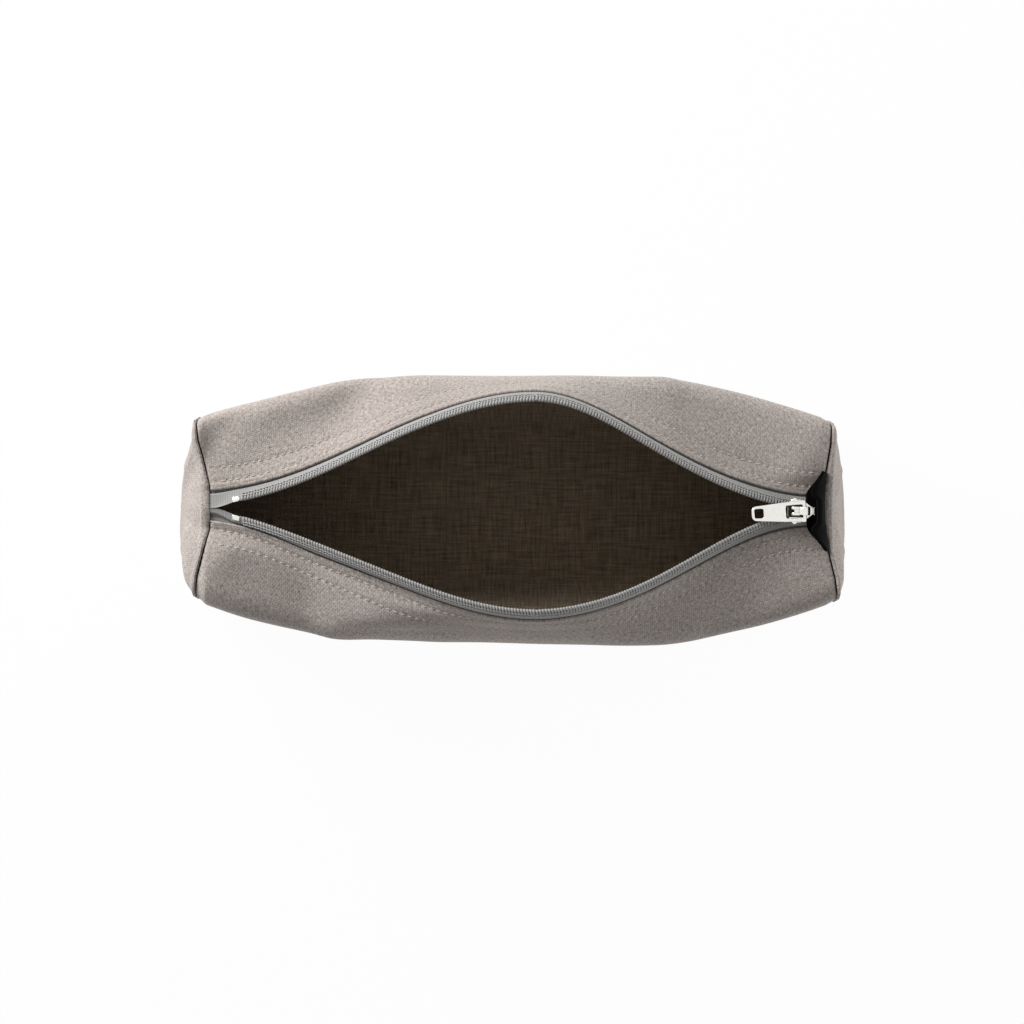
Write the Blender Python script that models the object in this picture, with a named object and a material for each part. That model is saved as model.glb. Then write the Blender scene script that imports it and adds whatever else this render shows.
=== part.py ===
"""An open pen case: a soft canvas box with a lining, and a coil zip along its top.

Frame: metres, +Z up, +X along the case towards the end where the slider rests, -Y the front.
The origin is the middle of the flat base. The case stands empty, with its zip fully open.
"""

import math

import bmesh
import bpy
import numpy as np

MM = 0.001

# Case: corner seams, base, and the fold where each side wall turns into the top flap
SEAM_HALF_LENGTH = 99.0 * MM
END_BULGE = 4.0 * MM
LEFT_SEAM_INSET = 4.8 * MM
RIGHT_SEAM_INSET = 3.8 * MM
BASE_HALF_WIDTH = 27.0 * MM
END_HALF_WIDTH = 27.8 * MM
END_HEIGHT = 44.0 * MM
MIDDLE_HALF_WIDTH = 42.8 * MM
FOLD_HEIGHT = 40.0 * MM
FOLD_SLOPE_LENGTH = 48.0 * MM
FOLD_BEND_SHARE = 0.16
BASE_CORNER = 8.0 * MM
END_FOLD_CORNER = 7.0 * MM
MIDDLE_FOLD_CORNER = 7.5 * MM
SIDE_CROWN = 1.2 * MM

# Zip opening: the rim is the line of the tooth tips, one rim for each side
LEFT_OPENING_OVERRUN = 3.0 * MM
OPENING_PEAK_X = 6.0 * MM
RIGHT_OPENING_INSET = 6.0 * MM
OPENING_LEFT_X = -SEAM_HALF_LENGTH - LEFT_OPENING_OVERRUN
OPENING_RIGHT_X = SEAM_HALF_LENGTH - RIGHT_OPENING_INSET
FRONT_OPENING = 30.7 * MM
BACK_OPENING = 33.2 * MM
RIM_HALF_GAP = 0.15 * MM
RIM_CURVED_RISE = 11.0 * MM
RIM_STRAIGHT_RISE = 5.0 * MM
PEAK_ROUND_SHARE = 0.2
STRIP_WIDTH = 4.8 * MM
# The lip's tilt at the peak, as a share of a half turn
LIP_TILT_SHARE = 0.25

# Sheets, counted inwards from the outer face of the canvas
CANVAS = 0.8 * MM
TAPE = 0.4 * MM
LINING = 0.4 * MM
GAP = 0.3 * MM
TAPE_INSET = 0.65 * MM
PANEL_CENTRE_HEIGHT = 22.0 * MM
PANEL_ROUNDNESS = 2.5

# Coil: a row of teeth on a spine, sewn on top of each tape's inner edge
COIL_WIDTH = 2.3 * MM
COIL_HEIGHT = 1.3 * MM
TOOTH_PITCH = 1.15 * MM
TOOTH_DEPTH = 0.7 * MM
TOOTH_CROWN = 0.25 * MM
TOOTH_ROUND = 0.5 * MM

# Stops at the two ends of the zip
TOP_STOP_INSET = 12.5 * MM
TOP_STOP_LENGTH = 2.6 * MM
TOP_STOP_WIDTH = 1.9 * MM
STOP_WALL = 0.5 * MM
BOTTOM_STOP_LENGTH = 1.1 * MM
BOTTOM_STOP_HALF_WIDTH = 2.2 * MM
BOTTOM_STOP_HALF_WEB = 0.45 * MM

# Slider: its nose, on the open side, is the wide end and its tail tip rests at the end of the zip
SLIDER_LENGTH = 8.4 * MM
SLIDER_TAIL_X = OPENING_RIGHT_X
SLIDER_HALF_WIDTH = 4.05 * MM
SLIDER_PLATE = 0.9 * MM
SLIDER_ROOM = 0.75 * MM
SLIDER_TAIL_HALF_WIDTH = 1.2 * MM
FOOT_TAIL_HALF_WIDTH = 2.6 * MM
FLANGE_WALL = 0.7 * MM
WEDGE_LENGTH = 2.0 * MM
WEDGE_NOSE_HALF_WIDTH = 0.55 * MM
WEDGE_END_HALF_WIDTH = 0.22 * MM
UNION_SINK = 0.1 * MM
# Outlines of the slider from nose to tail, as shares of its length and of its half width
NOSE_SHARES = ((0.0, 0.81), (0.05, 0.88))
SHOULDER_SHARES = ((0.1, 0.94), (0.17, 0.98), (0.24, 1.0), (0.32, 0.99), (0.42, 0.92), (0.54, 0.8))
PLATE_TAIL_SHARES = ((0.66, 0.58), (0.76, 0.42), (0.84, 0.3), (0.91, 0.24), (0.95, 0.25))
FOOT_TAIL_SHARES = ((0.85, 0.74),)

# Cap: the bridge over the pull's crossbar, forked in front, with the flat lock spring under it
HINGE_FROM_TAIL = 3.5 * MM
CAP_FROM_TAIL = 4.75 * MM
CAP_HALF_WIDTH = 1.5 * MM
CAP_HALF_LENGTH = 3.0 * MM
CAP_WALL = 0.75 * MM
CAP_SHOULDER = 0.6 * MM
CAP_NOTCH = 1.6 * MM
CAP_NOTCH_HALF_WIDTH = 0.5 * MM
SPRING = 0.3 * MM
SPRING_HALF_WIDTH = 0.9 * MM
SPRING_TRAVEL = 0.3 * MM
RUNNING_GAP = 0.15 * MM

# Pull tab: lies over the zip towards the open side, its crossbar under the cap
PULL_LENGTH = 16.95 * MM
PULL_THICKNESS = 1.0 * MM
PULL_HINGE_HALF_WIDTH = 3.1 * MM
PULL_TIP_HALF_WIDTH = 2.25 * MM
PULL_TIP_ROUND = 1.6 * MM
PULL_EAR = 0.25 * MM
PULL_EAR_LENGTH = 1.6 * MM
PULL_LIFT = 0.35 * MM
CROSSBAR = 1.1 * MM
WINDOW_LENGTH = 5.15 * MM
WINDOW_HALF_WIDTH = 1.95 * MM
TIP_HOLE = 2.8 * MM
TIP_HOLE_INSET = 1.2 * MM
CUT_OVERRUN = 1.0 * MM

# End tab: a folded ribbon that stands in the seam behind the slider
TAB_HALF_WIDTH = 12.2 * MM
TAB_HEIGHT = 8.5 * MM
TAB_THICKNESS = 2.6 * MM
TAB_RIBBON = 0.8 * MM
TAB_SEAM_OFFSET = 0.7 * MM
TAB_LEAN = 2.0 * MM

# Colours as linear red, green and blue, with roughness and metallic value
CANVAS_LOOK = ((0.30, 0.26, 0.24), 0.90, 0.0)
LINING_LOOK = ((0.10, 0.08, 0.06), 0.95, 0.0)
TAPE_LOOK = ((0.34, 0.35, 0.33), 0.85, 0.0)
COIL_LOOK = ((0.38, 0.39, 0.38), 0.45, 0.0)
METAL_LOOK = ((0.78, 0.78, 0.75), 0.25, 1.0)
TAB_LOOK = ((0.015, 0.016, 0.015), 0.70, 0.0)

FRONT, BACK = -1, 1
LEFT, RIGHT = -1, 1

# A place on the section path: a whole part names a stretch, the fraction how far along it
FLAP_START, STRIP_START, STRIP_END = 4, 5, 6
CANVAS_PLACE_SHARES = [0, 1, 1.5, 2, 2.5, 3, 3.5, 4, 4.5, 5]
LINING_EDGE_SHARE = 4.5
LENGTH_STEPS = 28
PANEL_RINGS = 5
RIM_SAMPLES = 600
PROBE_STEP_SHARE = 0.02


def smooth(share):
    """Return the smooth step of a share: 3 s squared less 2 s cubed."""
    share = np.clip(share, 0, 1)
    return share * share * (3 - 2 * share)


def opening_share(x):
    """Return how far along its opening the zip is at x: 0 at either end, 1 at the peak."""
    left = (x - OPENING_LEFT_X) / (OPENING_PEAK_X - OPENING_LEFT_X)
    right = (OPENING_RIGHT_X - x) / (OPENING_RIGHT_X - OPENING_PEAK_X)
    return np.clip(np.minimum(left, right), 0, 1)


def rim(x, side):
    """Return y and z of the tooth tips, and the tilt of the zip strip there."""
    share = opening_share(x)
    opening = BACK_OPENING if side == BACK else FRONT_OPENING
    near_peak = np.maximum(share - (1 - PEAK_ROUND_SHARE), 0)
    rounded = share - near_peak**2 / (2 * PEAK_ROUND_SHARE)
    y = side * (RIM_HALF_GAP + opening * smooth(share))
    z = END_HEIGHT + RIM_CURVED_RISE * smooth(share) + RIM_STRAIGHT_RISE * rounded
    return y, z, LIP_TILT_SHARE * math.pi * (1 - (1 - share) ** 3)


def fold(x, side):
    """Return y and z of the corner between side wall and flap, and how far that corner is cut."""
    share = (SEAM_HALF_LENGTH - np.abs(x)) / FOLD_SLOPE_LENGTH
    bend = FOLD_BEND_SHARE
    bent = 1 - (1 + bend - share) ** 2 / (4 * bend)
    spread = np.where(share < 1 - bend, share, np.where(share > 1 + bend, 1, bent))
    y = side * (END_HALF_WIDTH + (MIDDLE_HALF_WIDTH - END_HALF_WIDTH) * spread)
    z = END_HEIGHT + (FOLD_HEIGHT - END_HEIGHT) * spread
    return y, z, END_FOLD_CORNER + (MIDDLE_FOLD_CORNER - END_FOLD_CORNER) * spread


def towards(start, end, length):
    """Return the point that lies the given length from start on the way to end."""
    way = end - start
    return start + way * (length / np.linalg.norm(way, axis=-1))[..., None]


def section_point(x, place, side):
    """Return y and z of the outer face at x, for a place on the half section of one side.

    The path runs from the middle of the base round its corner, up the side wall, round the fold,
    over the flap to the canvas edge and on along the zip strip to the rim. Corners are parabolas.
    """
    x, place = np.broadcast_arrays(np.asarray(x, float), np.asarray(place, float))
    zero = np.zeros_like(x)
    fold_y, fold_z, fold_cut = fold(x, side)
    rim_y, rim_z, tilt = rim(x, side)
    middle = np.stack([zero, zero], -1)
    corner = np.stack([zero + side * BASE_HALF_WIDTH, zero], -1)
    top = np.stack([fold_y, fold_z], -1)
    lip = np.stack([rim_y, rim_z], -1)
    edge = lip + STRIP_WIDTH * np.stack([side * np.cos(tilt), -np.sin(tilt)], -1)
    base_end = towards(corner, middle, BASE_CORNER + zero)
    side_start = towards(corner, top, BASE_CORNER + zero)
    side_end = towards(top, corner, fold_cut)
    flap_start = towards(top, edge, fold_cut)
    share = (place - np.clip(np.floor(place), 0, STRIP_END - 1))[..., None]

    def straight(a, b):
        return a + (b - a) * share

    def parabola(a, b, c):
        return a * (1 - share) ** 2 + 2 * b * share * (1 - share) + c * share**2

    wall = side_end - side_start
    outward = np.stack([wall[..., 1], -wall[..., 0]], -1) * side
    outward = outward / np.linalg.norm(outward, axis=-1)[..., None]
    crown = SIDE_CROWN * (4 * share * (1 - share)) ** 2
    stretches = [
        straight(middle, base_end),
        parabola(base_end, corner, side_start),
        straight(side_start, side_end) + outward * crown,
        parabola(side_end, top, flap_start),
        straight(flap_start, edge),
        straight(edge, lip),
    ]
    stretch = np.clip(np.floor(place), 0, STRIP_END - 1)[..., None]
    return np.select([stretch == i for i in range(STRIP_END)], stretches)


def shell_point(x, place, side, depth):
    """Return world points that lie a depth inside the outer face, square to the section."""
    before = section_point(x, np.clip(place - PROBE_STEP_SHARE, 0, STRIP_END), side)
    after = section_point(x, np.clip(place + PROBE_STEP_SHARE, 0, STRIP_END), side)
    along = after - before
    inward = np.stack([-along[..., 1], along[..., 0]], -1) * side
    inward = inward / np.linalg.norm(inward, axis=-1)[..., None]
    flat = section_point(x, place, side) + depth * inward
    return np.concatenate([np.broadcast_to(x, place.shape)[..., None], flat], -1)


def seam_x(place, end):
    """Return x of the end seam at a place of the section: it bows inwards over the flap."""
    inset = LEFT_SEAM_INSET if end == LEFT else RIGHT_SEAM_INSET
    over_flap = np.clip(place - FLAP_START, 0, 1)
    return end * (SEAM_HALF_LENGTH - inset * (1 - (1 - over_flap) ** 2))


def material(name, look):
    """Make a plain material from a look: colour, roughness and metallic value."""
    colour, roughness, metallic = look
    made = bpy.data.materials.new(name)
    made.use_nodes = True
    shader = made.node_tree.nodes["Principled BSDF"]
    shader.inputs["Base Color"].default_value = (*colour, 1.0)
    shader.inputs["Roughness"].default_value = roughness
    shader.inputs["Metallic"].default_value = metallic
    return made


def add_object(name, points, faces, look, place=(0.0, 0.0, 0.0)):
    """Make one closed object from points and faces, with its faces turned outwards."""
    mesh = bpy.data.meshes.new(name)
    mesh.from_pydata([tuple(map(float, p)) for p in points], [], faces)
    shape = bmesh.new()
    shape.from_mesh(mesh)
    bmesh.ops.recalc_face_normals(shape, faces=shape.faces)
    shape.to_mesh(mesh)
    shape.free()
    mesh.shade_smooth()
    mesh.set_sharp_from_angle(angle=math.radians(35.0))
    made = bpy.data.objects.new(name, mesh)
    made.location = place
    mesh.materials.append(material(name + "_finish", look))
    bpy.context.scene.collection.objects.link(made)
    return made


def grid_faces(rows, columns, offset=0):
    """Return the triangles of a grid of points stored row by row, all cut along like diagonals."""
    faces = []
    for i in range(rows - 1):
        for j in range(columns - 1):
            here = offset + i * columns + j
            below = here + columns
            faces += [(here, below, below + 1), (here, below + 1, here + 1)]
    return faces


def add_sheet(name, outer, inner, look):
    """Make a sheet from the point grids of its two faces, joined round their borders."""
    rows, columns = outer.shape[:2]
    count = rows * columns
    points = np.concatenate([outer.reshape(-1, 3), inner.reshape(-1, 3)])
    faces = grid_faces(rows, columns) + [f[::-1] for f in grid_faces(rows, columns, count)]
    border = [j for j in range(columns)]
    border += [i * columns + columns - 1 for i in range(1, rows)]
    border += [(rows - 1) * columns + j for j in range(columns - 2, -1, -1)]
    border += [i * columns for i in range(rows - 2, 0, -1)]
    for a, b in zip(border, border[1:] + border[:1]):
        faces.append((a, b, count + b, count + a))
    return add_object(name, points, faces, look)


def add_tube(name, rings, look, place=(0.0, 0.0, 0.0)):
    """Make a closed body from a row of like rings of points, capped at both ends."""
    count, size = rings.shape[:2]
    faces = [tuple(range(size)), tuple((count - 1) * size + k for k in reversed(range(size)))]
    for i in range(count - 1):
        for k in range(size):
            after = (k + 1) % size
            faces.append((i * size + k, i * size + after, (i + 1) * size + after, (i + 1) * size + k))
    return add_object(name, rings.reshape(-1, 3), faces, look, place)


def around(half_places):
    """Return each place and its side, from the front lip round the base to the back lip."""
    front = [(place, FRONT) for place in reversed(half_places)]
    return front + [(place, BACK) for place in half_places[1:]]


def lengthwise(place, side, depth, end_gap):
    """Return a line of points along the case, cut off at a gap from both end seams."""
    left, right = seam_x(place, LEFT), seam_x(place, RIGHT)
    x = left + (right - left) * np.linspace(0, 1, LENGTH_STEPS + 1)
    x = np.clip(x, left + end_gap, right - end_gap)
    return shell_point(x, np.full_like(x, place), side, depth)


def wrap(half_places, depth, end_gap):
    """Return the grid of a layer that runs from one lip round the base to the other.

    Args: the places of half a section, the layer's depth, and the gap that it keeps from the
    end seams.
    """
    lines = [lengthwise(place, side, depth, end_gap) for place, side in around(half_places)]
    return np.stack(lines, 1)


def add_body_panel():
    """Make the canvas that wraps from one zip edge round the base to the other."""
    return add_sheet("body_panel", wrap(CANVAS_PLACE_SHARES, 0, 0), wrap(CANVAS_PLACE_SHARES, CANVAS, 0),
                     CANVAS_LOOK)


def tape_depth():
    """Return the depth of the tape's upper face."""
    return CANVAS + GAP


def lining_depth():
    """Return the depth of the lining's outer face."""
    return tape_depth() + TAPE + GAP


def end_room():
    """Return how far the inner sheets stay from an end seam, to clear the end lining."""
    return LINING + GAP


def add_body_lining():
    """Make the lining that wraps inside the canvas, its edges short of the zip strip."""
    places = [place for place in CANVAS_PLACE_SHARES if place <= LINING_EDGE_SHARE]
    return add_sheet("body_lining", wrap(places, lining_depth(), end_room()),
                     wrap(places, lining_depth() + LINING, end_room()), LINING_LOOK)


def end_cap(end, inset, behind, rings):
    """Return the grid of an end face: rings that shrink from the section's outline to a centre.

    Args: the end, the outline's depth inside the canvas, how far the face lies behind the outer
    face, and the number of rings. Between seam and centre the face bulges out.
    """
    seam = CANVAS + GAP
    outline = []
    for place, side in around(CANVAS_PLACE_SHARES):
        x = seam_x(place, end)
        point = shell_point(np.array(x), np.array(place), side, inset)
        outline.append([x + end * (seam - behind), point[1], point[2]])
    outline = np.array(outline)
    centre = np.array([end * (SEAM_HALF_LENGTH + END_BULGE - behind), 0, PANEL_CENTRE_HEIGHT])
    share = np.linspace(0, 1, rings)[:-1, None, None]
    grid = outline + (centre - outline) * share
    bulge = 1 - (1 - share[..., 0]) ** PANEL_ROUNDNESS
    grid[..., 0] = outline[:, 0] + (centre[0] - outline[:, 0]) * bulge
    return grid, centre


def add_end_cap(name, end, inset, behind, thickness, look):
    """Make one end piece: two domed faces a thickness apart, joined round the outline."""
    rings = PANEL_RINGS
    outer, outer_centre = end_cap(end, inset, behind, rings)
    inner, inner_centre = end_cap(end, inset, behind + thickness, rings)
    rows, columns = outer.shape[:2]
    points = np.concatenate([outer.reshape(-1, 3), [outer_centre], inner.reshape(-1, 3),
                             [inner_centre]])
    count = rows * columns + 1
    faces = []
    for offset in (0, count):
        for j in range(columns):
            after = (j + 1) % columns
            for i in range(rows - 1):
                faces.append((offset + i * columns + j, offset + i * columns + after,
                              offset + (i + 1) * columns + after, offset + (i + 1) * columns + j))
            last = offset + (rows - 1) * columns
            faces.append((last + j, last + after, offset + count - 1))
    for j in range(columns):
        after = (j + 1) % columns
        faces.append((j, after, count + after, count + j))
    return add_object(name, points, faces, look)


def add_ends():
    """Make the end panels and, inside them, the end linings."""
    for name, end in (("left", LEFT), ("right", RIGHT)):
        add_end_cap(name + "_end_panel", end, 0, 0, CANVAS, CANVAS_LOOK)
        add_end_cap(name + "_end_lining", end, CANVAS + GAP, CANVAS + GAP, LINING, LINING_LOOK)


def add_tape(name, side):
    """Make one zip tape: from under the canvas edge to just short of the tooth tips."""
    inner_place = STRIP_END - TAPE_INSET / STRIP_WIDTH
    places = (LINING_EDGE_SHARE, STRIP_START, inner_place)
    upper, lower = (
        np.stack([lengthwise(place, side, depth, end_room()) for place in places[::side]], 1)
        for depth in (tape_depth(), tape_depth() + TAPE)
    )
    return add_sheet(name, upper, lower, TAPE_LOOK)


def on_rim(x, side, out, up):
    """Return points given as distances out from the tooth tips along the strip and up from it."""
    y, z, tilt = rim(x, side)
    return np.stack([x + 0 * out, y + side * (out * np.cos(tilt) + up * np.sin(tilt)),
                     z - out * np.sin(tilt) + up * np.cos(tilt)], -1)


def rim_stations(start, end, pitch, side):
    """Return x at equal steps along the rim, as near to the pitch as fits between two places."""
    x = np.linspace(start, end, RIM_SAMPLES)
    y, z, _ = rim(x, side)
    steps = np.linalg.norm(np.diff([x, y, z]), axis=0)
    run = np.concatenate([[0], np.cumsum(steps)])
    count = int(run[-1] / pitch)
    return np.interp(np.linspace(0, run[-1], count + 1), run, x)


def top_stop_x():
    """Return x of the two ends of a top stop."""
    middle = TOP_STOP_INSET - SEAM_HALF_LENGTH
    return middle - TOP_STOP_LENGTH / 2, middle + TOP_STOP_LENGTH / 2


def coil_start():
    """Return x of the coil's first tooth, next to the top stop."""
    return top_stop_x()[1] + GAP


def add_coil(name, side):
    """Make one coil: stations alternate between a tooth tip, long and high, and a gap."""
    x = rim_stations(coil_start(), SLIDER_TAIL_X, TOOTH_PITCH / 2, side)
    tooth = (np.arange(len(x)) % 2 == 0)
    bottom = -tape_depth() + GAP + 0 * x
    top = bottom + COIL_HEIGHT - np.where(tooth, 0, TOOTH_CROWN)
    reach = np.where(tooth, 0, TOOTH_DEPTH)
    ring = [
        on_rim(x, side, reach, bottom),
        on_rim(x, side, reach + 0 * x, top - TOOTH_ROUND),
        on_rim(x, side, reach + TOOTH_ROUND, top),
        on_rim(x, side, COIL_WIDTH + 0 * x, bottom),
    ]
    return add_tube(name, np.stack(ring, 1), COIL_LOOK)


def add_top_stop(name, side):
    """Make one top stop: a metal clip bent round the tape's inner edge, open to the outside."""
    x = np.array(top_stop_x())
    tape_top = -tape_depth()
    slot_top = tape_top + GAP
    slot_bottom = tape_top - TAPE - GAP
    back = TAPE_INSET - GAP
    profile = [
        (back - STOP_WALL, slot_bottom - STOP_WALL),
        (back - STOP_WALL, slot_top + STOP_WALL),
        (TOP_STOP_WIDTH, slot_top + STOP_WALL),
        (TOP_STOP_WIDTH, slot_top),
        (back, slot_top),
        (back, slot_bottom),
        (TOP_STOP_WIDTH, slot_bottom),
        (TOP_STOP_WIDTH, slot_bottom - STOP_WALL),
    ]
    ring = [on_rim(x, side, np.full(2, out), np.full(2, up)) for out, up in profile]
    return add_tube(name, np.stack(ring, 1), METAL_LOOK)


def add_prism(name, outline, low, high, axis, look, place=(0.0, 0.0, 0.0)):
    """Make a prism: a flat outline carried from low to high along an axis, 1 for Y and 2 for Z."""
    rings = []
    for level in (low, high):
        ring = np.insert(np.array(outline, float), axis, level, axis=1)
        rings.append(ring)
    return add_tube(name, np.stack(rings), look, place)


def combine(base, other, operation):
    """Unite another object with the base, or cut it away, with a live Boolean."""
    change = base.modifiers.new(other.name, "BOOLEAN")
    change.operation = operation
    change.solver = "EXACT"
    change.object = other
    other.hide_render = True
    other.display_type = "WIRE"


def mirrored(half):
    """Return a closed outline from its half on the back side, walked from nose to tail."""
    return half + [(x, -y) for x, y in reversed(half)]


def add_bottom_stop():
    """Make the bottom stop: two flanges over and under the tapes, joined by a web between them."""
    tape_top = END_HEIGHT - tape_depth()
    over = tape_top + GAP
    under = tape_top - TAPE - GAP
    wide, web = BOTTOM_STOP_HALF_WIDTH, BOTTOM_STOP_HALF_WEB
    half = [(web, over), (wide, over), (wide, over + STOP_WALL), (-wide, over + STOP_WALL),
            (-wide, over), (-web, over), (-web, under), (-wide, under), (-wide, under - STOP_WALL),
            (wide, under - STOP_WALL), (wide, under), (web, under)]
    start = SLIDER_TAIL_X + GAP
    rings = [[(x, y, z) for y, z in half] for x in (start, start + BOTTOM_STOP_LENGTH)]
    return add_tube("bottom_stop", np.array(rings), METAL_LOOK)


def slider_origin():
    """Return the slider's own origin: the middle of its length, level with the rim there."""
    x = SLIDER_TAIL_X - SLIDER_LENGTH / 2
    return (x, 0.0, float(rim(x, BACK)[1]))


def slider_levels():
    """Return how high the slider's four plate faces are over its origin, bottom of base first."""
    base_top = -tape_depth() - TAPE - SLIDER_ROOM
    top_bottom = -tape_depth() + GAP + COIL_HEIGHT + SLIDER_ROOM
    return base_top - SLIDER_PLATE, base_top, top_bottom, top_bottom + SLIDER_PLATE


def add_slider_body():
    """Make the slider: a wide base, a pointed top plate with flanges, and the wedge between."""
    nose = -SLIDER_LENGTH / 2
    low, base_top, top_bottom, high = slider_levels()

    def edge(shares, side=BACK):
        return [(nose + along * SLIDER_LENGTH, side * out * SLIDER_HALF_WIDTH)
                for along, out in shares]

    plate = edge(NOSE_SHARES + SHOULDER_SHARES + PLATE_TAIL_SHARES)
    plate.append((-nose, SLIDER_TAIL_HALF_WIDTH))
    foot = edge(NOSE_SHARES + SHOULDER_SHARES + FOOT_TAIL_SHARES)
    foot.append((-nose, FOOT_TAIL_HALF_WIDTH))
    body = add_prism("slider_body", mirrored(plate), top_bottom, high, 2, METAL_LOOK,
                     slider_origin())
    base = add_prism("slider_base_form", mirrored(foot), low, base_top, 2, METAL_LOOK,
                     slider_origin())
    wedge_end = nose + WEDGE_LENGTH
    wedge = add_prism("slider_wedge_form",
                      mirrored([(nose, WEDGE_NOSE_HALF_WIDTH), (wedge_end, WEDGE_END_HALF_WIDTH)]),
                      base_top - UNION_SINK, top_bottom + UNION_SINK, 2, METAL_LOOK,
                      slider_origin())
    combine(body, base, "UNION")
    combine(body, wedge, "UNION")
    flange_foot = -tape_depth() + SLIDER_ROOM
    for name, side in (("front", FRONT), ("back", BACK)):
        outer = edge(SHOULDER_SHARES, side)
        inner = [(x, y - side * FLANGE_WALL) for x, y in reversed(outer)]
        flange = add_prism("slider_flange_form_" + name, outer + inner, flange_foot,
                           top_bottom + UNION_SINK, 2, METAL_LOOK, slider_origin())
        combine(body, flange, "UNION")


def hinge_place():
    """Return the pull's hinge: the middle of its crossbar, over the slider's top plate."""
    top = slider_origin()[2] + slider_levels()[3]
    return (SLIDER_TAIL_X - HINGE_FROM_TAIL, 0.0, top + PULL_LIFT + PULL_THICKNESS / 2)


def bar_reach():
    """Return how far the crossbar's corners swing from the hinge."""
    return math.hypot(CROSSBAR / 2, PULL_THICKNESS / 2)


def cap_place():
    """Return the middle of the cap's length, at the height of the hinge."""
    return (SLIDER_TAIL_X - CAP_FROM_TAIL, 0.0, hinge_place()[2])


def add_cap():
    """Make the cap: a bent strip with a forked front leg, and the lock spring under its top."""
    middle = cap_place()
    foot = GAP - PULL_LIFT - PULL_THICKNESS / 2
    roof = bar_reach() + RUNNING_GAP + SPRING + SPRING_TRAVEL
    top = roof + CAP_WALL
    outer, inner = CAP_HALF_LENGTH, CAP_HALF_LENGTH - CAP_WALL
    profile = [(-outer, foot), (-outer, top - CAP_SHOULDER), (-outer + CAP_SHOULDER, top),
               (outer - CAP_SHOULDER, top), (outer, top - CAP_SHOULDER), (outer, foot),
               (inner, foot), (inner, roof), (-inner, roof), (-inner, foot)]
    cap = add_prism("slider_cap", profile, -CAP_HALF_WIDTH, CAP_HALF_WIDTH, 1, METAL_LOOK, middle)
    notch = [(-outer - CUT_OVERRUN, CAP_NOTCH_HALF_WIDTH), (CAP_NOTCH - outer, CAP_NOTCH_HALF_WIDTH)]
    cutter = add_prism("cap_notch_form", mirrored(notch), foot - CUT_OVERRUN, top + CUT_OVERRUN, 2,
                       METAL_LOOK, middle)
    combine(cap, cutter, "DIFFERENCE")
    spring_low = bar_reach() + RUNNING_GAP
    half = inner - GAP
    tongue = [(-half, spring_low - SPRING), (-half, spring_low + SPRING), (half, spring_low + SPRING),
              (half, spring_low), (-half + SPRING, spring_low), (-half + SPRING, spring_low - SPRING)]
    add_prism("lock_spring", tongue, -SPRING_HALF_WIDTH, SPRING_HALF_WIDTH, 1, METAL_LOOK, middle)


def add_pull_tab():
    """Make the pull tab: a tapered plate with a window at the hinge and a hole at the tip."""
    near = CROSSBAR / 2
    far = near - PULL_LENGTH
    half_thickness = PULL_THICKNESS / 2
    tip = [(far + PULL_TIP_ROUND * (1 - math.cos(a)),
            PULL_TIP_HALF_WIDTH - PULL_TIP_ROUND * (1 - math.sin(a)))
           for a in np.linspace(0, math.pi / 2, 5)]
    ear_half_width = PULL_HINGE_HALF_WIDTH + PULL_EAR
    ears = [(near - PULL_EAR_LENGTH, PULL_HINGE_HALF_WIDTH),
            (near - PULL_EAR_LENGTH + PULL_EAR, ear_half_width), (near - PULL_EAR, ear_half_width),
            (near, PULL_HINGE_HALF_WIDTH)]
    outline = mirrored(tip + ears)
    pull = add_prism("pull_tab", outline, -half_thickness, half_thickness, 2, METAL_LOOK,
                     hinge_place())
    window = (near - CROSSBAR - WINDOW_LENGTH, near - CROSSBAR, WINDOW_HALF_WIDTH)
    hole = (far + TIP_HOLE_INSET, far + TIP_HOLE_INSET + TIP_HOLE, TIP_HOLE / 2)
    for name, (start, end, half_width) in (("pull_window_form", window), ("pull_hole_form", hole)):
        cutter = add_prism(name, mirrored([(start, half_width), (end, half_width)]),
                           -half_thickness - CUT_OVERRUN, half_thickness + CUT_OVERRUN, 2,
                           METAL_LOOK, hinge_place())
        combine(pull, cutter, "DIFFERENCE")


def add_end_tab():
    """Make the end tab: a ribbon loop that follows the bowed end seam and leans to the slider."""
    y = np.linspace(-TAB_HALF_WIDTH, TAB_HALF_WIDTH, 9)
    bow = RIGHT_SEAM_INSET * (1 - (y / END_HALF_WIDTH) ** 2)
    x = SEAM_HALF_LENGTH - bow + TAB_SEAM_OFFSET
    foot = END_HEIGHT + GAP
    outer = TAB_THICKNESS / 2
    inner = outer - TAB_RIBBON
    bend = np.linspace(0, math.pi, 5)
    shoulder = TAB_HEIGHT - outer
    legs = np.linspace(0, shoulder, 4)[:-1]
    profile = [(outer, up) for up in legs]
    profile += [(outer * math.cos(a), shoulder + outer * math.sin(a)) for a in bend]
    profile += [(-outer, up) for up in reversed(legs)] + [(-inner, up) for up in legs]
    profile += [(-inner * math.cos(a), shoulder + inner * math.sin(a)) for a in bend]
    profile += [(inner, up) for up in reversed(legs)]
    rings = [[(xc + dx - TAB_LEAN * (dz / TAB_HEIGHT) ** 2, yc, foot + dz) for dx, dz in profile]
             for xc, yc in zip(x, y)]
    return add_tube("end_tab", np.array(rings), TAB_LOOK)


def main():
    """Build the whole case."""
    for old in list(bpy.data.objects):
        bpy.data.objects.remove(old, do_unlink=True)
    add_body_panel()
    add_body_lining()
    add_ends()
    for name, side in (("front", FRONT), ("back", BACK)):
        add_tape(name + "_tape", side)
        add_coil(name + "_coil", side)
        add_top_stop(name + "_top_stop", side)
    add_bottom_stop()
    add_slider_body()
    add_cap()
    add_pull_tab()
    add_end_tab()


main()
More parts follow.
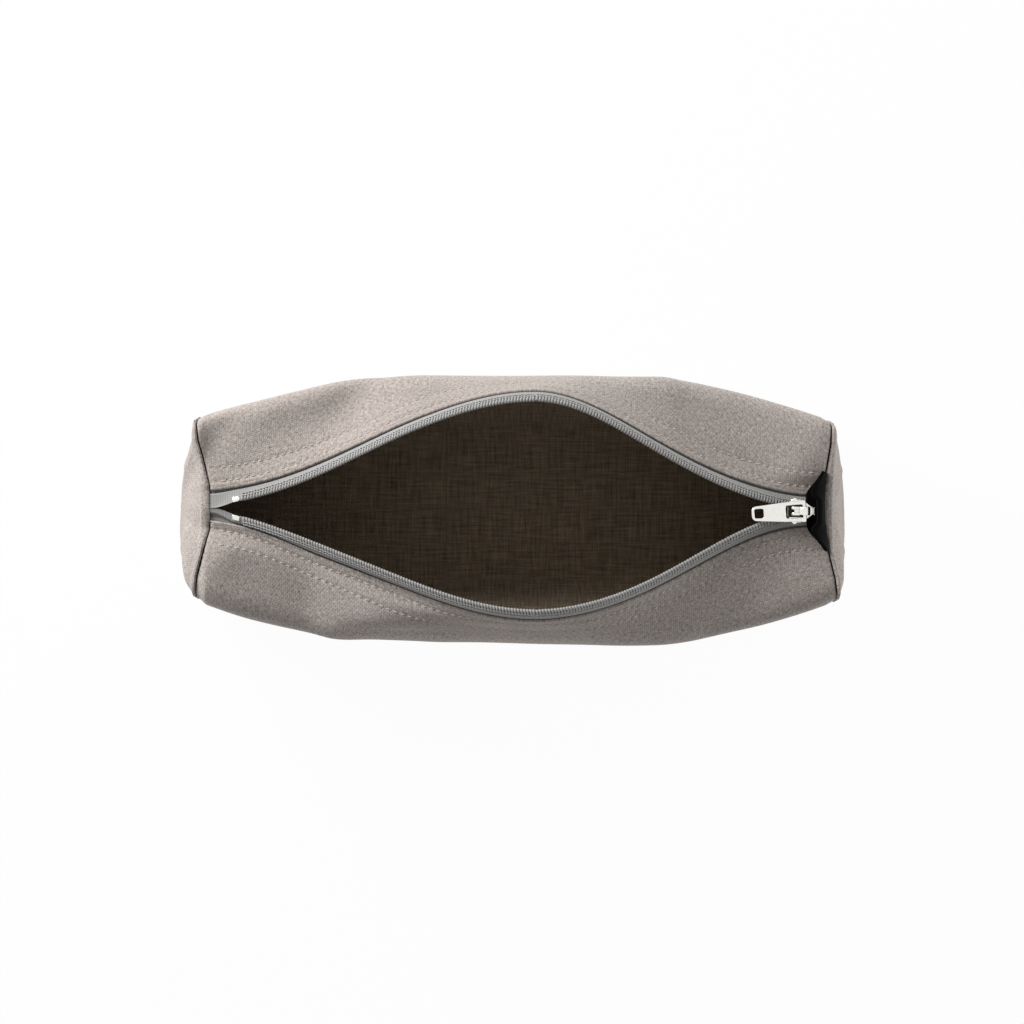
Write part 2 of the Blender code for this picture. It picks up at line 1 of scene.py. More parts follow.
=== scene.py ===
"""An open, empty canvas pen case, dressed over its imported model.

Frame: metres, +Z up, +X along the case towards the end where the slider rests, -Y the front. A
place on the half section is a number from 0, the middle of the base, to 6, the tooth tips.
"""

import logging
import math
from collections.abc import Callable, Iterator, Sequence
from dataclasses import dataclass, field
from enum import IntEnum
from typing import Any

import bpy
import numpy as np
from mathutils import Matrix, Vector
from mathutils.geometry import delaunay_2d_cdt


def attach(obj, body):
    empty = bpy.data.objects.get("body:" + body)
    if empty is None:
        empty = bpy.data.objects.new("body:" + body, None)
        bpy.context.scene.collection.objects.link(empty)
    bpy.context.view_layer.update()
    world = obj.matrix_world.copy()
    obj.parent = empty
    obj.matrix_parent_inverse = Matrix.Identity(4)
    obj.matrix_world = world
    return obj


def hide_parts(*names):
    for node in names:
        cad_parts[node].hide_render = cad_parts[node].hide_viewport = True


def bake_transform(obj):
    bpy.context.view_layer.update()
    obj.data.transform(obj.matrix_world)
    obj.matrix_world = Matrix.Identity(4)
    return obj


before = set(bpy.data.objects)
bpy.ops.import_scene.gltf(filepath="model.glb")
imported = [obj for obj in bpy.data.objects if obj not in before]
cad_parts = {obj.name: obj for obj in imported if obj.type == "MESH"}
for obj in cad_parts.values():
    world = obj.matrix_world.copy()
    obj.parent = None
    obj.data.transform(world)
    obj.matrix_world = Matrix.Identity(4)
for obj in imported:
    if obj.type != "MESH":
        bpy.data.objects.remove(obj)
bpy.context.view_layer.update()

MM = 0.001
LOG = logging.getLogger("pen_case")
CLOTH = "cloth_mm"
Array = np.ndarray

Surface = Callable[[Array, Array], Array]


class Side(IntEnum):
    """The two long sides of the case, as the sign of Y."""

    FRONT = -1
    BACK = 1


class End(IntEnum):
    """The two ends of the case, as the sign of X."""

    LEFT = -1
    RIGHT = 1


def smooth(share: Array) -> Array:
    """Return the smooth step of a share, cut off at 0 and 1: 3 s squared less 2 s cubed."""
    share = np.clip(share, 0, 1)
    return share * share * (3 - 2 * share)


def unit(vectors: Array) -> Array:
    """Return the vectors at length one."""
    return vectors / np.maximum(np.linalg.norm(vectors, axis=-1, keepdims=True), 1e-12)


def bell(distance: Array, width: float) -> Array:
    """Return a bell curve: 1 at no distance, and a third at one width."""
    return np.exp(-((distance / width) ** 2))


def signed_power(value: Array, power: float) -> Array:
    """Return the power of a value's size, with the value's sign."""
    return np.sign(value) * np.abs(value) ** power


def smoothed(values: Array, width: int) -> Array:
    """Return values averaged with their neighbours under a Hann window of an odd width."""
    kernel = np.hanning(width)
    padded = np.pad(values, width // 2, mode="edge")
    return np.convolve(padded, kernel / kernel.sum(), mode="valid")


def cloth_grid(along: Array, around: Array) -> Array:
    """Return cloth positions from millimetres along and around, with a third value of 0."""
    return np.stack(np.broadcast_arrays(along, around, 0 * along), -1)


def quarters() -> Iterator[tuple[Side, End, str, str]]:
    """Yield the side, end, label and lip body of every quarter of the soft case."""
    for side in Side:
        for end in End:
            yield side, end, f"{side.name}_{end.name}".lower(), f"{side.name.lower()}_stringer"


def linear(hex_colour: str) -> tuple[float, float, float, float]:
    """Turn an sRGB hex colour into linear red, green, blue and alpha.

    Args:
        hex_colour: the colour as #rrggbb.

    Returns:
        The colour as a shader socket takes it.
    """
    channels = [int(hex_colour[i:i + 2], 16) / 255 for i in (1, 3, 5)]
    turned = [c / 12.92 if c <= 0.04045 else ((c + 0.055) / 1.055) ** 2.4 for c in channels]
    return turned[0], turned[1], turned[2], 1.0


# The form of the soft case


@dataclass(frozen=True)
class SoftSpot:
    """A broad swelling of the cloth, or a dent where its rise is negative, in millimetres.

    Its rise falls off as a bell along the case and around it.
    """

    side: Side
    x: float
    girth: float
    length: float
    breadth: float
    rise: float


@dataclass(frozen=True)
class FlapFold:
    """A soft fold of a flap, or a trough where its rise is negative, in millimetres.

    It is a bell over an ellipse of the given length and breadth, whose length is turned by an
    angle in degrees from the way along the case towards the way around it.
    """

    side: Side
    x: float
    girth: float
    length: float
    breadth: float
    angle: float
    rise: float

    def height(self, along: Array, around: Array) -> Array:
        """Return the fold's rise at places given in millimetres along and around the case."""
        turn = math.radians(self.angle)
        ahead, beside = along - self.x, around - self.girth
        return (self.rise * bell(ahead * math.cos(turn) + beside * math.sin(turn), self.length)
                * bell(beside * math.cos(turn) - ahead * math.sin(turn), self.breadth))


# Rows of x, girth, length, breadth and rise
SOFT_SPOTS = tuple(SoftSpot(side, *row) for side, rows in (
    (Side.BACK, (
        (-90, 60, 9, 13, 0.4), (-78, 60, 26, 13, 0.7), (74, 60, 26, 13, 1.5),
        (-60, 47, 30, 12, 0.7), (20, 45, 34, 11, -0.6), (74, 48, 22, 12, 0.5))),
    (Side.FRONT, (
        (-82, 60, 26, 13, 2.0), (-46, 60, 9, 13, -1.6), (-34, 60, 9, 13, -0.8),
        (18, 60, 26, 13, 0.8), (66, 60, 26, 13, 1.5), (78, 60, 9, 13, 0.6), (90, 60, 9, 13, 0.6),
        (-72, 47, 22, 12, 0.6), (-14, 45, 34, 11, -0.6), (58, 48, 28, 12, 0.6))),
) for row in rows)
# Rows of x, girth, length, breadth, angle and rise
FLAP_FOLDS = tuple(FlapFold(side, *row) for side, rows in (
    (Side.BACK, (
        (-92, 69, 16, 6, 120, -1.0), (-92, 69, 10, 5, 0, -0.8), (-92, 74, 16, 6, 150, -0.7),
        (-88, 79, 22, 11, 0, -0.9), (-60, 74, 22, 11, 0, -1.2), (-60, 79, 22, 11, 150, -0.6),
        (-52, 74, 10, 10, 0, -1.2), (-52, 79, 10, 10, 0, -0.8), (-48, 69, 10, 5, 150, -0.6),
        (-32, 69, 16, 6, 30, 0.9), (-28, 74, 22, 11, 120, 0.7), (-16, 79, 22, 11, 120, 0.3),
        (16, 84, 22, 11, 120, 0.6), (32, 69, 22, 11, 0, 0.6), (44, 69, 10, 5, 0, 0.8),
        (48, 74, 10, 5, 90, 0.7), (56, 64, 16, 6, 30, -0.6), (68, 79, 22, 11, 60, -1.3),
        (80, 69, 16, 6, 0, -1.1), (88, 84, 16, 6, 120, 1.4), (92, 74, 22, 11, 90, 1.0))),
    (Side.FRONT, (
        (-92, 74, 22, 11, 0, 0.8), (-92, 79, 10, 5, 60, 1.1), (-88, 74, 22, 11, 120, 1.3),
        (-88, 84, 22, 11, 60, 1.3), (-64, 74, 16, 6, 90, -0.8), (-56, 69, 16, 6, 30, 1.2),
        (-48, 74, 16, 6, 150, 1.1), (-44, 69, 10, 5, 0, -0.7), (-44, 79, 22, 11, 150, 1.2),
        (-40, 74, 22, 11, 150, 0.7), (-36, 69, 10, 5, 0, -1.0), (-36, 79, 22, 11, 30, 2.7),
        (32, 74, 22, 11, 120, 0.9), (64, 69, 16, 6, 30, -0.7), (64, 84, 16, 6, 30, 0.3),
        (76, 69, 16, 6, 0, -1.4))),
) for row in rows)


@dataclass(frozen=True)
class CaseForm:
    """The case's outer face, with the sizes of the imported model.

    The half section runs from the middle of the base round the base corner (1 to 2), up the side
    wall (2 to 3), round the fold (3 to 4), over the flap to the canvas edge (5) and along the zip
    strip to the tooth tips (6). Corners are parabolas. Lengths are in metres.
    """

    seam: float = 99 * MM
    seam_insets: tuple[float, float] = (4.8 * MM, 3.8 * MM)
    base_half_width: float = 27 * MM
    end_half_width: float = 27.8 * MM
    end_height: float = 44 * MM
    middle_half_width: float = 42.8 * MM
    fold_height: float = 40 * MM
    fold_slope: float = 48 * MM
    fold_bend: float = 0.16
    base_corner: float = 8 * MM
    end_fold_corner: float = 7 * MM
    middle_fold_corner: float = 7.5 * MM
    side_crown: float = 1.2 * MM
    opening_left: float = -102 * MM
    opening_peak: float = 6 * MM
    opening_right: float = 93 * MM
    front_opening: float = 30.7 * MM
    back_opening: float = 33.2 * MM
    rim_half_gap: float = 0.15 * MM
    curved_rise: float = 11 * MM
    straight_rise: float = 5 * MM
    peak_round: float = 0.2
    strip_width: float = 4.8 * MM
    lip_tilt: float = math.pi / 4
    zip_bend: float = 2.0 * MM
    bend_end: float = 86 * MM
    left_bend: float = 0.7 * MM
    left_bend_ends: tuple[float, float] = (-98 * MM, -30 * MM)
    end_skew: float = 0.037
    skew_start: float = 45 * MM
    canvas: float = 0.8 * MM
    tape: float = 0.4 * MM
    lining: float = 0.4 * MM
    gap: float = 0.3 * MM
    probe: float = 0.02
    # Millimetres from the middle of the base to each whole place, half way along the case
    girths: tuple[float, ...] = (0, 19, 32, 60, 72, 91, 96)
    # The end seam's way inwards over the flap: places, and shares of its whole inset
    seam_places: tuple[float, ...] = (3, 3.5, 4, 4.9, 5.2)
    seam_shares: tuple[float, ...] = (0, 0.02, 0.16, 0.93, 1)
    # The seam is drawn in at every stitch: millimetres between stitches, and share of its depth
    pucker_pitch: float = 2.7
    pucker_share: float = 0.25
    # Where softness sets in: a place and the stretch it takes, for all and for the flap folds
    soft_from: tuple[float, float] = (1.5, 0.8)
    folds_from: tuple[float, float] = (2.9, 0.7)
    # How it fades: over places before the canvas edge, over lengths before a seam, and what stays
    edge_fade: float = 0.35
    seam_fade: float = 3.5 * MM
    seam_softness: float = 0.1

    def girth(self, place: Array) -> Array:
        """Return millimetres from the middle of the base to a place, half way along the case."""
        return np.interp(place, range(len(self.girths)), self.girths)

    def cloth_place(self, x: Array, place: Array, side: Side) -> Array:
        """Return millimetres along the case and around the section, for the weave."""
        return cloth_grid(x / MM, side * self.girth(place))

    def pucker(self, around: Array) -> Array:
        """Return the share of its depth that a seam has at millimetres around the case."""
        return 1 + self.pucker_share * np.sin(2 * math.pi * around / self.pucker_pitch)

    def opening_share(self, x: Array) -> Array:
        """Return how far along its opening the zip is at x: 0 at either end, 1 at the peak."""
        left = (x - self.opening_left) / (self.opening_peak - self.opening_left)
        right = (self.opening_right - x) / (self.opening_right - self.opening_peak)
        return np.clip(np.minimum(left, right), 0, 1)

    def bend(self, x: Array) -> Array:
        """Return how far both rims sway to the front at x, on either side of the peak."""
        share = np.clip((x - self.opening_peak) / (self.bend_end - self.opening_peak), 0, 1)
        start, end = self.left_bend_ends
        left = np.clip((x - start) / (end - start), 0, 1)
        return (self.zip_bend * np.sin(math.pi * share) ** 2
                + self.left_bend * np.sin(math.pi * left) ** 2)

    def rim(self, x: Array, side: Side) -> tuple[Array, Array, Array]:
        """Return y and z of the tooth tips at x, and the zip strip's tilt there."""
        share = self.opening_share(x)
        opening = self.back_opening if side == Side.BACK else self.front_opening
        near_peak = np.maximum(share - (1 - self.peak_round), 0)
        rounded = share - near_peak**2 / (2 * self.peak_round)
        y = side * (self.rim_half_gap + opening * smooth(share)) - self.bend(x)
        z = self.end_height + self.curved_rise * smooth(share) + self.straight_rise * rounded
        return y, z, self.lip_tilt * (1 - (1 - share) ** 3)

    def fold(self, x: Array, side: Side) -> tuple[Array, Array, Array]:
        """Return y and z of the corner between side wall and flap, and the length cut off it."""
        share = (self.seam - np.abs(x)) / self.fold_slope
        bend = self.fold_bend
        bent = 1 - (1 + bend - share) ** 2 / (4 * bend)
        spread = np.where(share < 1 - bend, share, np.where(share > 1 + bend, 1, bent))
        y = side * (self.end_half_width + (self.middle_half_width - self.end_half_width) * spread)
        z = self.end_height + (self.fold_height - self.end_height) * spread
        cut = self.middle_fold_corner - self.end_fold_corner
        return y, z, self.end_fold_corner + cut * spread

    def section(self, x: Array, place: Array, side: Side) -> Array:
        """Return y and z of the plain outer face at x, for a place on the half section."""
        x, place = np.broadcast_arrays(np.asarray(x, float), np.asarray(place, float))
        zero = np.zeros_like(x)
        fold_y, fold_z, fold_cut = self.fold(x, side)
        rim_y, rim_z, tilt = self.rim(x, side)
        middle = np.stack([zero, zero], -1)
        corner = np.stack([zero + side * self.base_half_width, zero], -1)
        top = np.stack([fold_y, fold_z], -1)
        lip = np.stack([rim_y, rim_z], -1)
        edge = lip + self.strip_width * np.stack([side * np.cos(tilt), -np.sin(tilt)], -1)
        base_end = corner + unit(middle - corner) * self.base_corner
        side_start = corner + unit(top - corner) * self.base_corner
        side_end = top + unit(corner - top) * fold_cut[..., None]
        flap_start = top + unit(edge - top) * fold_cut[..., None]
        stretch = np.clip(np.floor(place), 0, 5)
        share = (place - stretch)[..., None]
        wall = unit(side_end - side_start)
        outward = np.stack([wall[..., 1], -wall[..., 0]], -1) * side
        crown = self.side_crown * (4 * share * (1 - share)) ** 2

        def parabola(a: Array, b: Array, c: Array) -> Array:
            """Return the curve from a to c that leaves and arrives along the lines to b."""
            return a * (1 - share) ** 2 + 2 * b * share * (1 - share) + c * share**2

        runs = [
            middle + (base_end - middle) * share,
            parabola(base_end, corner, side_start),
            side_start + (side_end - side_start) * share + outward * crown,
            parabola(side_end, top, flap_start),
            flap_start + (edge - flap_start) * share,
            edge + (lip - edge) * share,
        ]
        return np.select([stretch[..., None] == i for i in range(6)], runs)

    def inward(self, x: Array, place: Array, side: Side) -> Array:
        """Return the unit direction in Y and Z that points square into the case."""
        before = self.section(x, np.clip(place - self.probe, 0, 6), side)
        after = self.section(x, np.clip(place + self.probe, 0, 6), side)
        along = unit(after - before)
        return np.stack([-along[..., 1], along[..., 0]], -1) * side

    def softness(self, x: Array, place: Array, side: Side) -> Array:
        """Return how far the soft cloth stands out from the plain form, in metres.

        It is the sum of the soft spots and flap folds, and fades to nothing on the base, where the
        case stands, and at the canvas edge, which the zip holds.
        """
        along, around = x / MM, self.girth(place)
        total = np.zeros(np.broadcast(x, place).shape)
        for spot in SOFT_SPOTS:
            if spot.side == side:
                total += (spot.rise * bell(along - spot.x, spot.length)
                          * bell(around - spot.girth, spot.breadth))
        start, stretch = self.folds_from
        on_flap = smooth((place - start) / stretch)
        for fold in FLAP_FOLDS:
            if fold.side == side:
                total += fold.height(along, around) * on_flap
        start, stretch = self.soft_from
        fade = smooth((place - start) / stretch) * smooth((5 - place) / self.edge_fade)
        left = self.seam_softness
        fade = fade * (left + (1 - left) * smooth((self.seam - np.abs(x)) / self.seam_fade))
        return total * fade * MM

    def point(self, x: Array, place: Array, side: Side, depth: Array) -> Array:
        """Return points that lie a depth inside the soft outer face, square to the section."""
        x, place = np.broadcast_arrays(np.asarray(x, float), np.asarray(place, float))
        inset = (depth - self.softness(x, place, side))[..., None]
        flat = self.section(x, place, side) + inset * self.inward(x, place, side)
        skew = self.end_skew * smooth((x - self.skew_start) / (self.seam - self.skew_start))
        return np.concatenate([(x - skew * flat[..., 0])[..., None], flat], -1)

    def seam_x(self, place: Array, end: End) -> Array:
        """Return x of the end seam at a place: it runs inwards over the flap, almost straight."""
        inset = self.seam_insets[0 if end == End.LEFT else 1]
        return end * (self.seam - inset * np.interp(place, self.seam_places, self.seam_shares))

    def flap_length(self, x: Array, side: Side) -> Array:
        """Return the length of the flap's straight stretch at x, up to the canvas edge."""
        return np.linalg.norm(self.section(x, 5 + 0 * x, side) - self.section(x, 4 + 0 * x, side),
                              axis=-1)

    def on_rim(self, x: Array, side: Side, out: Array, up: Array) -> Array:
        """Return points given as distances out from the tooth tips along the strip, and up."""
        y, z, tilt = self.rim(x, side)
        return np.stack([x + 0 * out, y + side * (out * np.cos(tilt) + up * np.sin(tilt)),
                         z - out * np.sin(tilt) + up * np.cos(tilt)], -1)

    def quarter(self, end: End, stations: Array, place: Array,
                overrun: float = 0.0) -> Array:
        """Return x at stations from 0 to 1, from the left of a quarter to its right.

        Args:
            end: the end whose quarter it is; the other border is the zip's peak.
            stations: the stations, as a column.
            place: the places, as a row.
            overrun: how far past the end seam it reaches.
        """
        outer = self.seam_x(place, end) + end * overrun
        left, right = (outer, self.opening_peak) if end == End.LEFT else (self.opening_peak, outer)
        return left + (right - left) * stations


@dataclass(frozen=True)
class LipMotion:
    """Along the coil the weight follows x alone, from the zip's end to its peak. The cloth behind it
    follows a sloping field that agrees with the coil's at the tooth tips and fades to nothing at
    the base and ends.
    """

    form: CaseForm
    # Weight that a millimetre of height adds, and what is then left for the way along the zip
    per_height: float = 1 / 30
    along_share: float = 5 / 6
    # How far the rims lie to the front on the whole, as the zip sways
    sway: float = 0.6 * MM

    def reach(self, end: End) -> float:
        """Return x where the zip's opening ends."""
        return self.form.opening_left if end == End.LEFT else self.form.opening_right

    def coil(self, end: End) -> tuple[tuple[float, ...], tuple[float, ...]]:
        """Return the blend's start and end for a coil."""
        return (self.reach(end), 0.0, 0.0), (self.form.opening_peak, 0.0, 0.0)

    def cloth(self, side: Side, end: End) -> tuple[tuple[float, ...], tuple[float, ...]]:
        """Return the blend's start and end for cloth.

        The weight rises by a constant slope along x, y and z; the two points lie one whole step of
        weight apart on that slope, through the tooth tips' height over the peak.
        """
        form = self.form
        opening = form.back_opening if side == Side.BACK else form.front_opening
        length = form.opening_peak - self.reach(end)
        per_width = -self.per_height * form.curved_rise / opening
        slope = np.array([self.along_share / length, side * per_width / MM, self.per_height / MM])
        step = slope / (slope @ slope)
        origin = np.array([form.opening_peak, -self.sway, form.end_height])
        start, finish = origin - step * self.along_share, origin + step * (1 - self.along_share)
        return tuple(start), tuple(finish)


# Meshes from grids


def grid_quads(rows: int, columns: int) -> Array:
    """Return the quads of a grid of points stored row by row."""
    corner = np.arange(rows - 1)[:, None] * columns + np.arange(columns - 1)
    return np.stack([corner, corner + columns, corner + columns + 1, corner + 1], -1).reshape(-1, 4)


def ring_quads(rings: int, size: int) -> Array:
    """Return the quads of a row of closed rings of points."""
    along, here = np.arange(rings - 1)[:, None] * size, np.arange(size)
    after = (here + 1) % size
    return np.stack([along + here, along + after, along + size + after, along + size + here],
                    -1).reshape(-1, 4)


@dataclass
class Shape:
    """Points and faces on their way to becoming a piece.

    Attributes:
        points: every point.
        quads: the faces with four corners.
        caps: other faces.
        cloth: for each point, millimetres along and around the cloth, and a third value.
        normals: for each corner of each quad, its normal, where the quads need their own.
    """

    points: Array
    quads: Array
    caps: list[list[int]] = field(default_factory=list)
    cloth: Array | None = None
    normals: Array | None = None

    def add(self, other: "Shape") -> "Shape":
        """Return this shape with another one beside it in the same mesh. Neither is of cloth."""
        count = len(self.points)
        caps = self.caps + [[count + i for i in cap] for cap in other.caps]
        return Shape(np.concatenate([self.points, other.points]),
                     np.concatenate([self.quads, other.quads + count]), caps)

    def piece(self, name: str, finish: bpy.types.Material) -> bpy.types.Object:
        """Make the piece as an object at the origin, with its place in its mesh."""
        mesh = bpy.data.meshes.new(name)
        mesh.from_pydata(self.points.tolist(), [], self.quads.tolist() + self.caps)
        mesh.shade_smooth()
        if self.cloth is not None:
            stored = mesh.attributes.new(CLOTH, "FLOAT_VECTOR", "POINT")
            stored.data.foreach_set("vector", self.cloth.astype(np.float32).ravel())
        if self.normals is not None:
            mesh.normals_split_custom_set(self.normals.reshape(-1, 3).tolist())
        made = bpy.data.objects.new(name, mesh)
        mesh.materials.append(finish)
        bpy.context.scene.collection.objects.link(made)
        return made


def turned(shape: Shape) -> Shape:
    """Return the shape with every face turned over."""
    normals = None if shape.normals is None else shape.normals[:, ::-1]
    return Shape(shape.points, shape.quads[:, ::-1], [cap[::-1] for cap in shape.caps],
                 shape.cloth, normals)


def layer(outer: Array, inner: Array, outer_normals: Array,
          inner_normals: Array, cloth: Array, turn: bool, hem: bool) -> Shape:
    """Make a layer of cloth from the point grids of its two faces, closed round its borders.

    Args:
        outer: the outer face's grid.
        inner: the inner face's grid, of the same size.
        outer_normals: the outer face's normals.
        inner_normals: the inner face's normals.
        cloth: the cloth position of each outer point.
        turn: whether the grid runs so that its faces have to be turned over.
        hem: whether the border along the last column is rounded, and shades smoothly.

    Returns:
        The closed shape with a normal for every corner.
    """
    rows, columns = outer.shape[:2]
    count = rows * columns
    index = np.arange(count).reshape(rows, columns)
    ring = np.concatenate([index[0, :-1], index[:-1, -1], index[-1, :0:-1], index[:0:-1, 0]])
    after = np.roll(ring, -1)
    walls = np.stack([ring, after, after + count, ring + count], -1)
    faces = grid_quads(rows, columns)
    quads = np.concatenate([faces, faces[:, ::-1] + count, walls])
    if turn:
        quads = quads[:, ::-1]
    points = np.concatenate([outer.reshape(-1, 3), inner.reshape(-1, 3)])
    own = np.concatenate([outer_normals.reshape(-1, 3), inner_normals.reshape(-1, 3)])
    normals = own[quads]
    corners = points[quads]
    flat = unit(np.cross(corners[:, 2] - corners[:, 0], corners[:, 3] - corners[:, 1]))
    wall_rows = np.arange(2 * len(faces), len(quads))
    if hem:
        on_hem = (ring % columns == columns - 1) & (after % columns == columns - 1)
        wall_rows = wall_rows[~on_hem]
    normals[wall_rows] = flat[wall_rows, None]
    both = np.concatenate([cloth.reshape(-1, 3)] * 2)
    return Shape(points, quads, cloth=both, normals=normals)


def face_normals(surface: Surface, x: Array, place: Array, side: Side) -> Array:
    """Return a surface's unit outward normals: the cross product of its slopes along x and place.

    Args:
        surface: the points as a function of x and place.
        x: where, along the case.
        place: where, on the half section.
        side: the side that the surface is on.
    """
    step, probe = 0.1 * MM, 0.01
    along = surface(x + step, place) - surface(x - step, place)
    around = surface(x, place + probe) - surface(x, place - probe)
    return unit(np.cross(along, around)) * -side


def sheet_between(outer: Surface, inner: Surface, x: Array, place: Array, side: Side,
                  cloth: Array) -> Shape:
    """Make the layer of cloth between two surfaces over a grid of x and place.

    Args:
        outer: the surface of the outer face.
        inner: the surface of the inner face.
        x: where, along the case.
        place: where, on the half section.
        side: the side that the layer is on.
        cloth: the cloth position of each point of the grid.
    """
    return layer(outer(x, place), inner(x, place), face_normals(outer, x, place, side),
                 -face_normals(inner, x, place, side), cloth, side == Side.BACK, False)


def tubes(paths: Array, radii: Array, beside: Array, sides: int) -> Shape:
    """Carry a round profile along many paths at once, each closed at both ends.

    Args:
        paths: points, as path by station.
        radii: the radius at each station, of one path or of all.
        beside: at each point a direction that is never along the path.
        sides: how many sides the profile has.

    Returns:
        One shape with all the tubes.
    """
    count, length = paths.shape[:2]
    ahead = unit(np.gradient(paths, axis=1))
    up = unit(np.cross(ahead, beside))
    across = np.cross(up, ahead)
    angle = np.arange(sides) * 2 * math.pi / sides
    radius = np.broadcast_to(radii, (count, length))[..., None, None]
    spread = (np.cos(angle)[:, None] * across[:, :, None]
              + np.sin(angle)[:, None] * up[:, :, None])
    points = paths[:, :, None] + radius * spread
    each = length * sides
    starts = np.arange(count) * each
    quads = (ring_quads(length, sides)[None] + starts[:, None, None]).reshape(-1, 4)
    caps = [(start + np.arange(sides)[::-1]).tolist() for start in starts]
    caps += [(start + each - sides + np.arange(sides)).tolist() for start in starts]
    return Shape(points.reshape(-1, 3), quads, caps)


def superellipse(sides: int, power: float) -> Array:
    """Return the unit ring x**power + y**power = 1, a square with rounded corners."""
    angle = (np.arange(sides) + 0.5) * 2 * math.pi / sides
    ring = np.stack([np.cos(angle), np.sin(angle)], -1)
    return signed_power(ring, 2 / power)


def rounded_bar(centres: Array, across: Array, up: Array, half_width: Array,
                half_height: Array, power: float, sides: int = 24) -> Shape:
    """Carry a rounded square profile along a path, closed at both ends.

    Args:
        centres: the path's points.
        across: the profile's unit direction of width at each point.
        up: its unit direction of height at each point.
        half_width: half its width at each point.
        half_height: half its height at each point.
        power: how square the profile is: 2 is an ellipse.
        sides: how many points the profile has.
    """
    ring = superellipse(sides, power)
    wide = half_width[:, None, None] * ring[None, :, :1] * across[:, None]
    high = half_height[:, None, None] * ring[None, :, 1:] * up[:, None]
    points = centres[:, None] + wide + high
    caps = [list(range(sides))[::-1], list(range((len(centres) - 1) * sides,
                                                 len(centres) * sides))]
    return Shape(points.reshape(-1, 3), ring_quads(len(centres), sides), caps)


def thicken(piece: bpy.types.Object, thickness: float, offset: float = -1.0) -> None:
    """Give a sheet its thickness: inwards from its face at offset -1, to both sides at 0."""
    wall = piece.modifiers.new("thickness", "SOLIDIFY")
    wall.thickness, wall.offset = thickness, offset


def refinish(node: str, finish: bpy.types.Material) -> None:
    """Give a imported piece, which stays as it is, its finish."""
    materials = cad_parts[node].data.materials
    materials.clear()
    materials.append(finish)


def end_taper(stations: Array, length: float, rounding: float) -> Array:
    """Return the share of its full size that a bar with rounded ends has at each station.

    Within the rounding of either end it follows a quarter circle.
    """
    near = np.minimum(stations, 1 - stations) * length / rounding
    return np.sqrt(1 - (1 - np.clip(near, 0, 1)) ** 2 * 0.98)


def rounded_stations(count: int) -> Array:
    """Return stations from 0 to 1 that crowd towards both ends, as a cosine does."""
    return (1 - np.cos(np.linspace(0, math.pi, count))) / 2


# Finishes


def add_node(tree: bpy.types.NodeTree, kind: str, inputs: dict[Any, Any] | None = None,
             **settings: Any) -> bpy.types.Node:
    """Add a node with its settings and inputs.

    Args:
        tree: the node tree that it goes into.
        kind: the node's type.
        inputs: for each socket, by name or number, a value or the output to link it to.
        settings: the node's own properties.
    """
    made = tree.nodes.new(kind)
    for name, value in settings.items():
        setattr(made, name, value)
    for name, value in (inputs or {}).items():
        if isinstance(value, bpy.types.NodeSocket):
            tree.links.new(value, made.inputs[name])
        else:
            made.inputs[name].default_value = value
    return made


def start_material(name: str, **shader: Any) -> tuple[bpy.types.Material, bpy.types.NodeTree,
                                                      bpy.types.Node]:
    """Make a material with one Principled shader.

    Args:
        name: the material's name.
        shader: the shader's inputs, with spaces written as underscores.

    Returns:
        The material, its node tree and the shader.
    """
    made = bpy.data.materials.new(name)
    made.use_nodes = True
    made.node_tree.nodes.clear()
    surface = add_node(made.node_tree, "ShaderNodeBsdfPrincipled",
                       {key.replace("_", " "): value for key, value in shader.items()})
    add_node(made.node_tree, "ShaderNodeOutputMaterial", {"Surface": surface.outputs[0]})
    return made, made.node_tree, surface


def lay_on(tree: bpy.types.NodeTree, shader: bpy.types.Node, colours: tuple[str, str],
           tone: bpy.types.NodeSocket, height: bpy.types.NodeSocket, strength: float,
           relief: float) -> None:
    """Give a shader its colour, mixed by a tone, and its relief, raised by a height.

    Args:
        tree: the material's node tree.
        shader: its shader.
        colours: the colours where the tone is 0 and where it is 1.
        tone: the output that mixes them.
        height: the output that raises the relief.
        strength: the relief's strength.
        relief: its depth in millimetres.
    """
    dark, light = (linear(colour) for colour in colours)
    colour = add_node(tree, "ShaderNodeMix", {0: tone, 6: dark, 7: light}, data_type="RGBA")
    bump = add_node(tree, "ShaderNodeBump", {
        "Height": height, "Strength": strength, "Distance": relief * MM})
    tree.links.new(colour.outputs[2], shader.inputs["Base Color"])
    tree.links.new(bump.outputs[0], shader.inputs["Normal"])


def wave_scale(period: float) -> float:
    """Return the Wave texture's scale for a period in units of its vector: 2 pi over 20 of them."""
    return 2 * math.pi / 20 / period


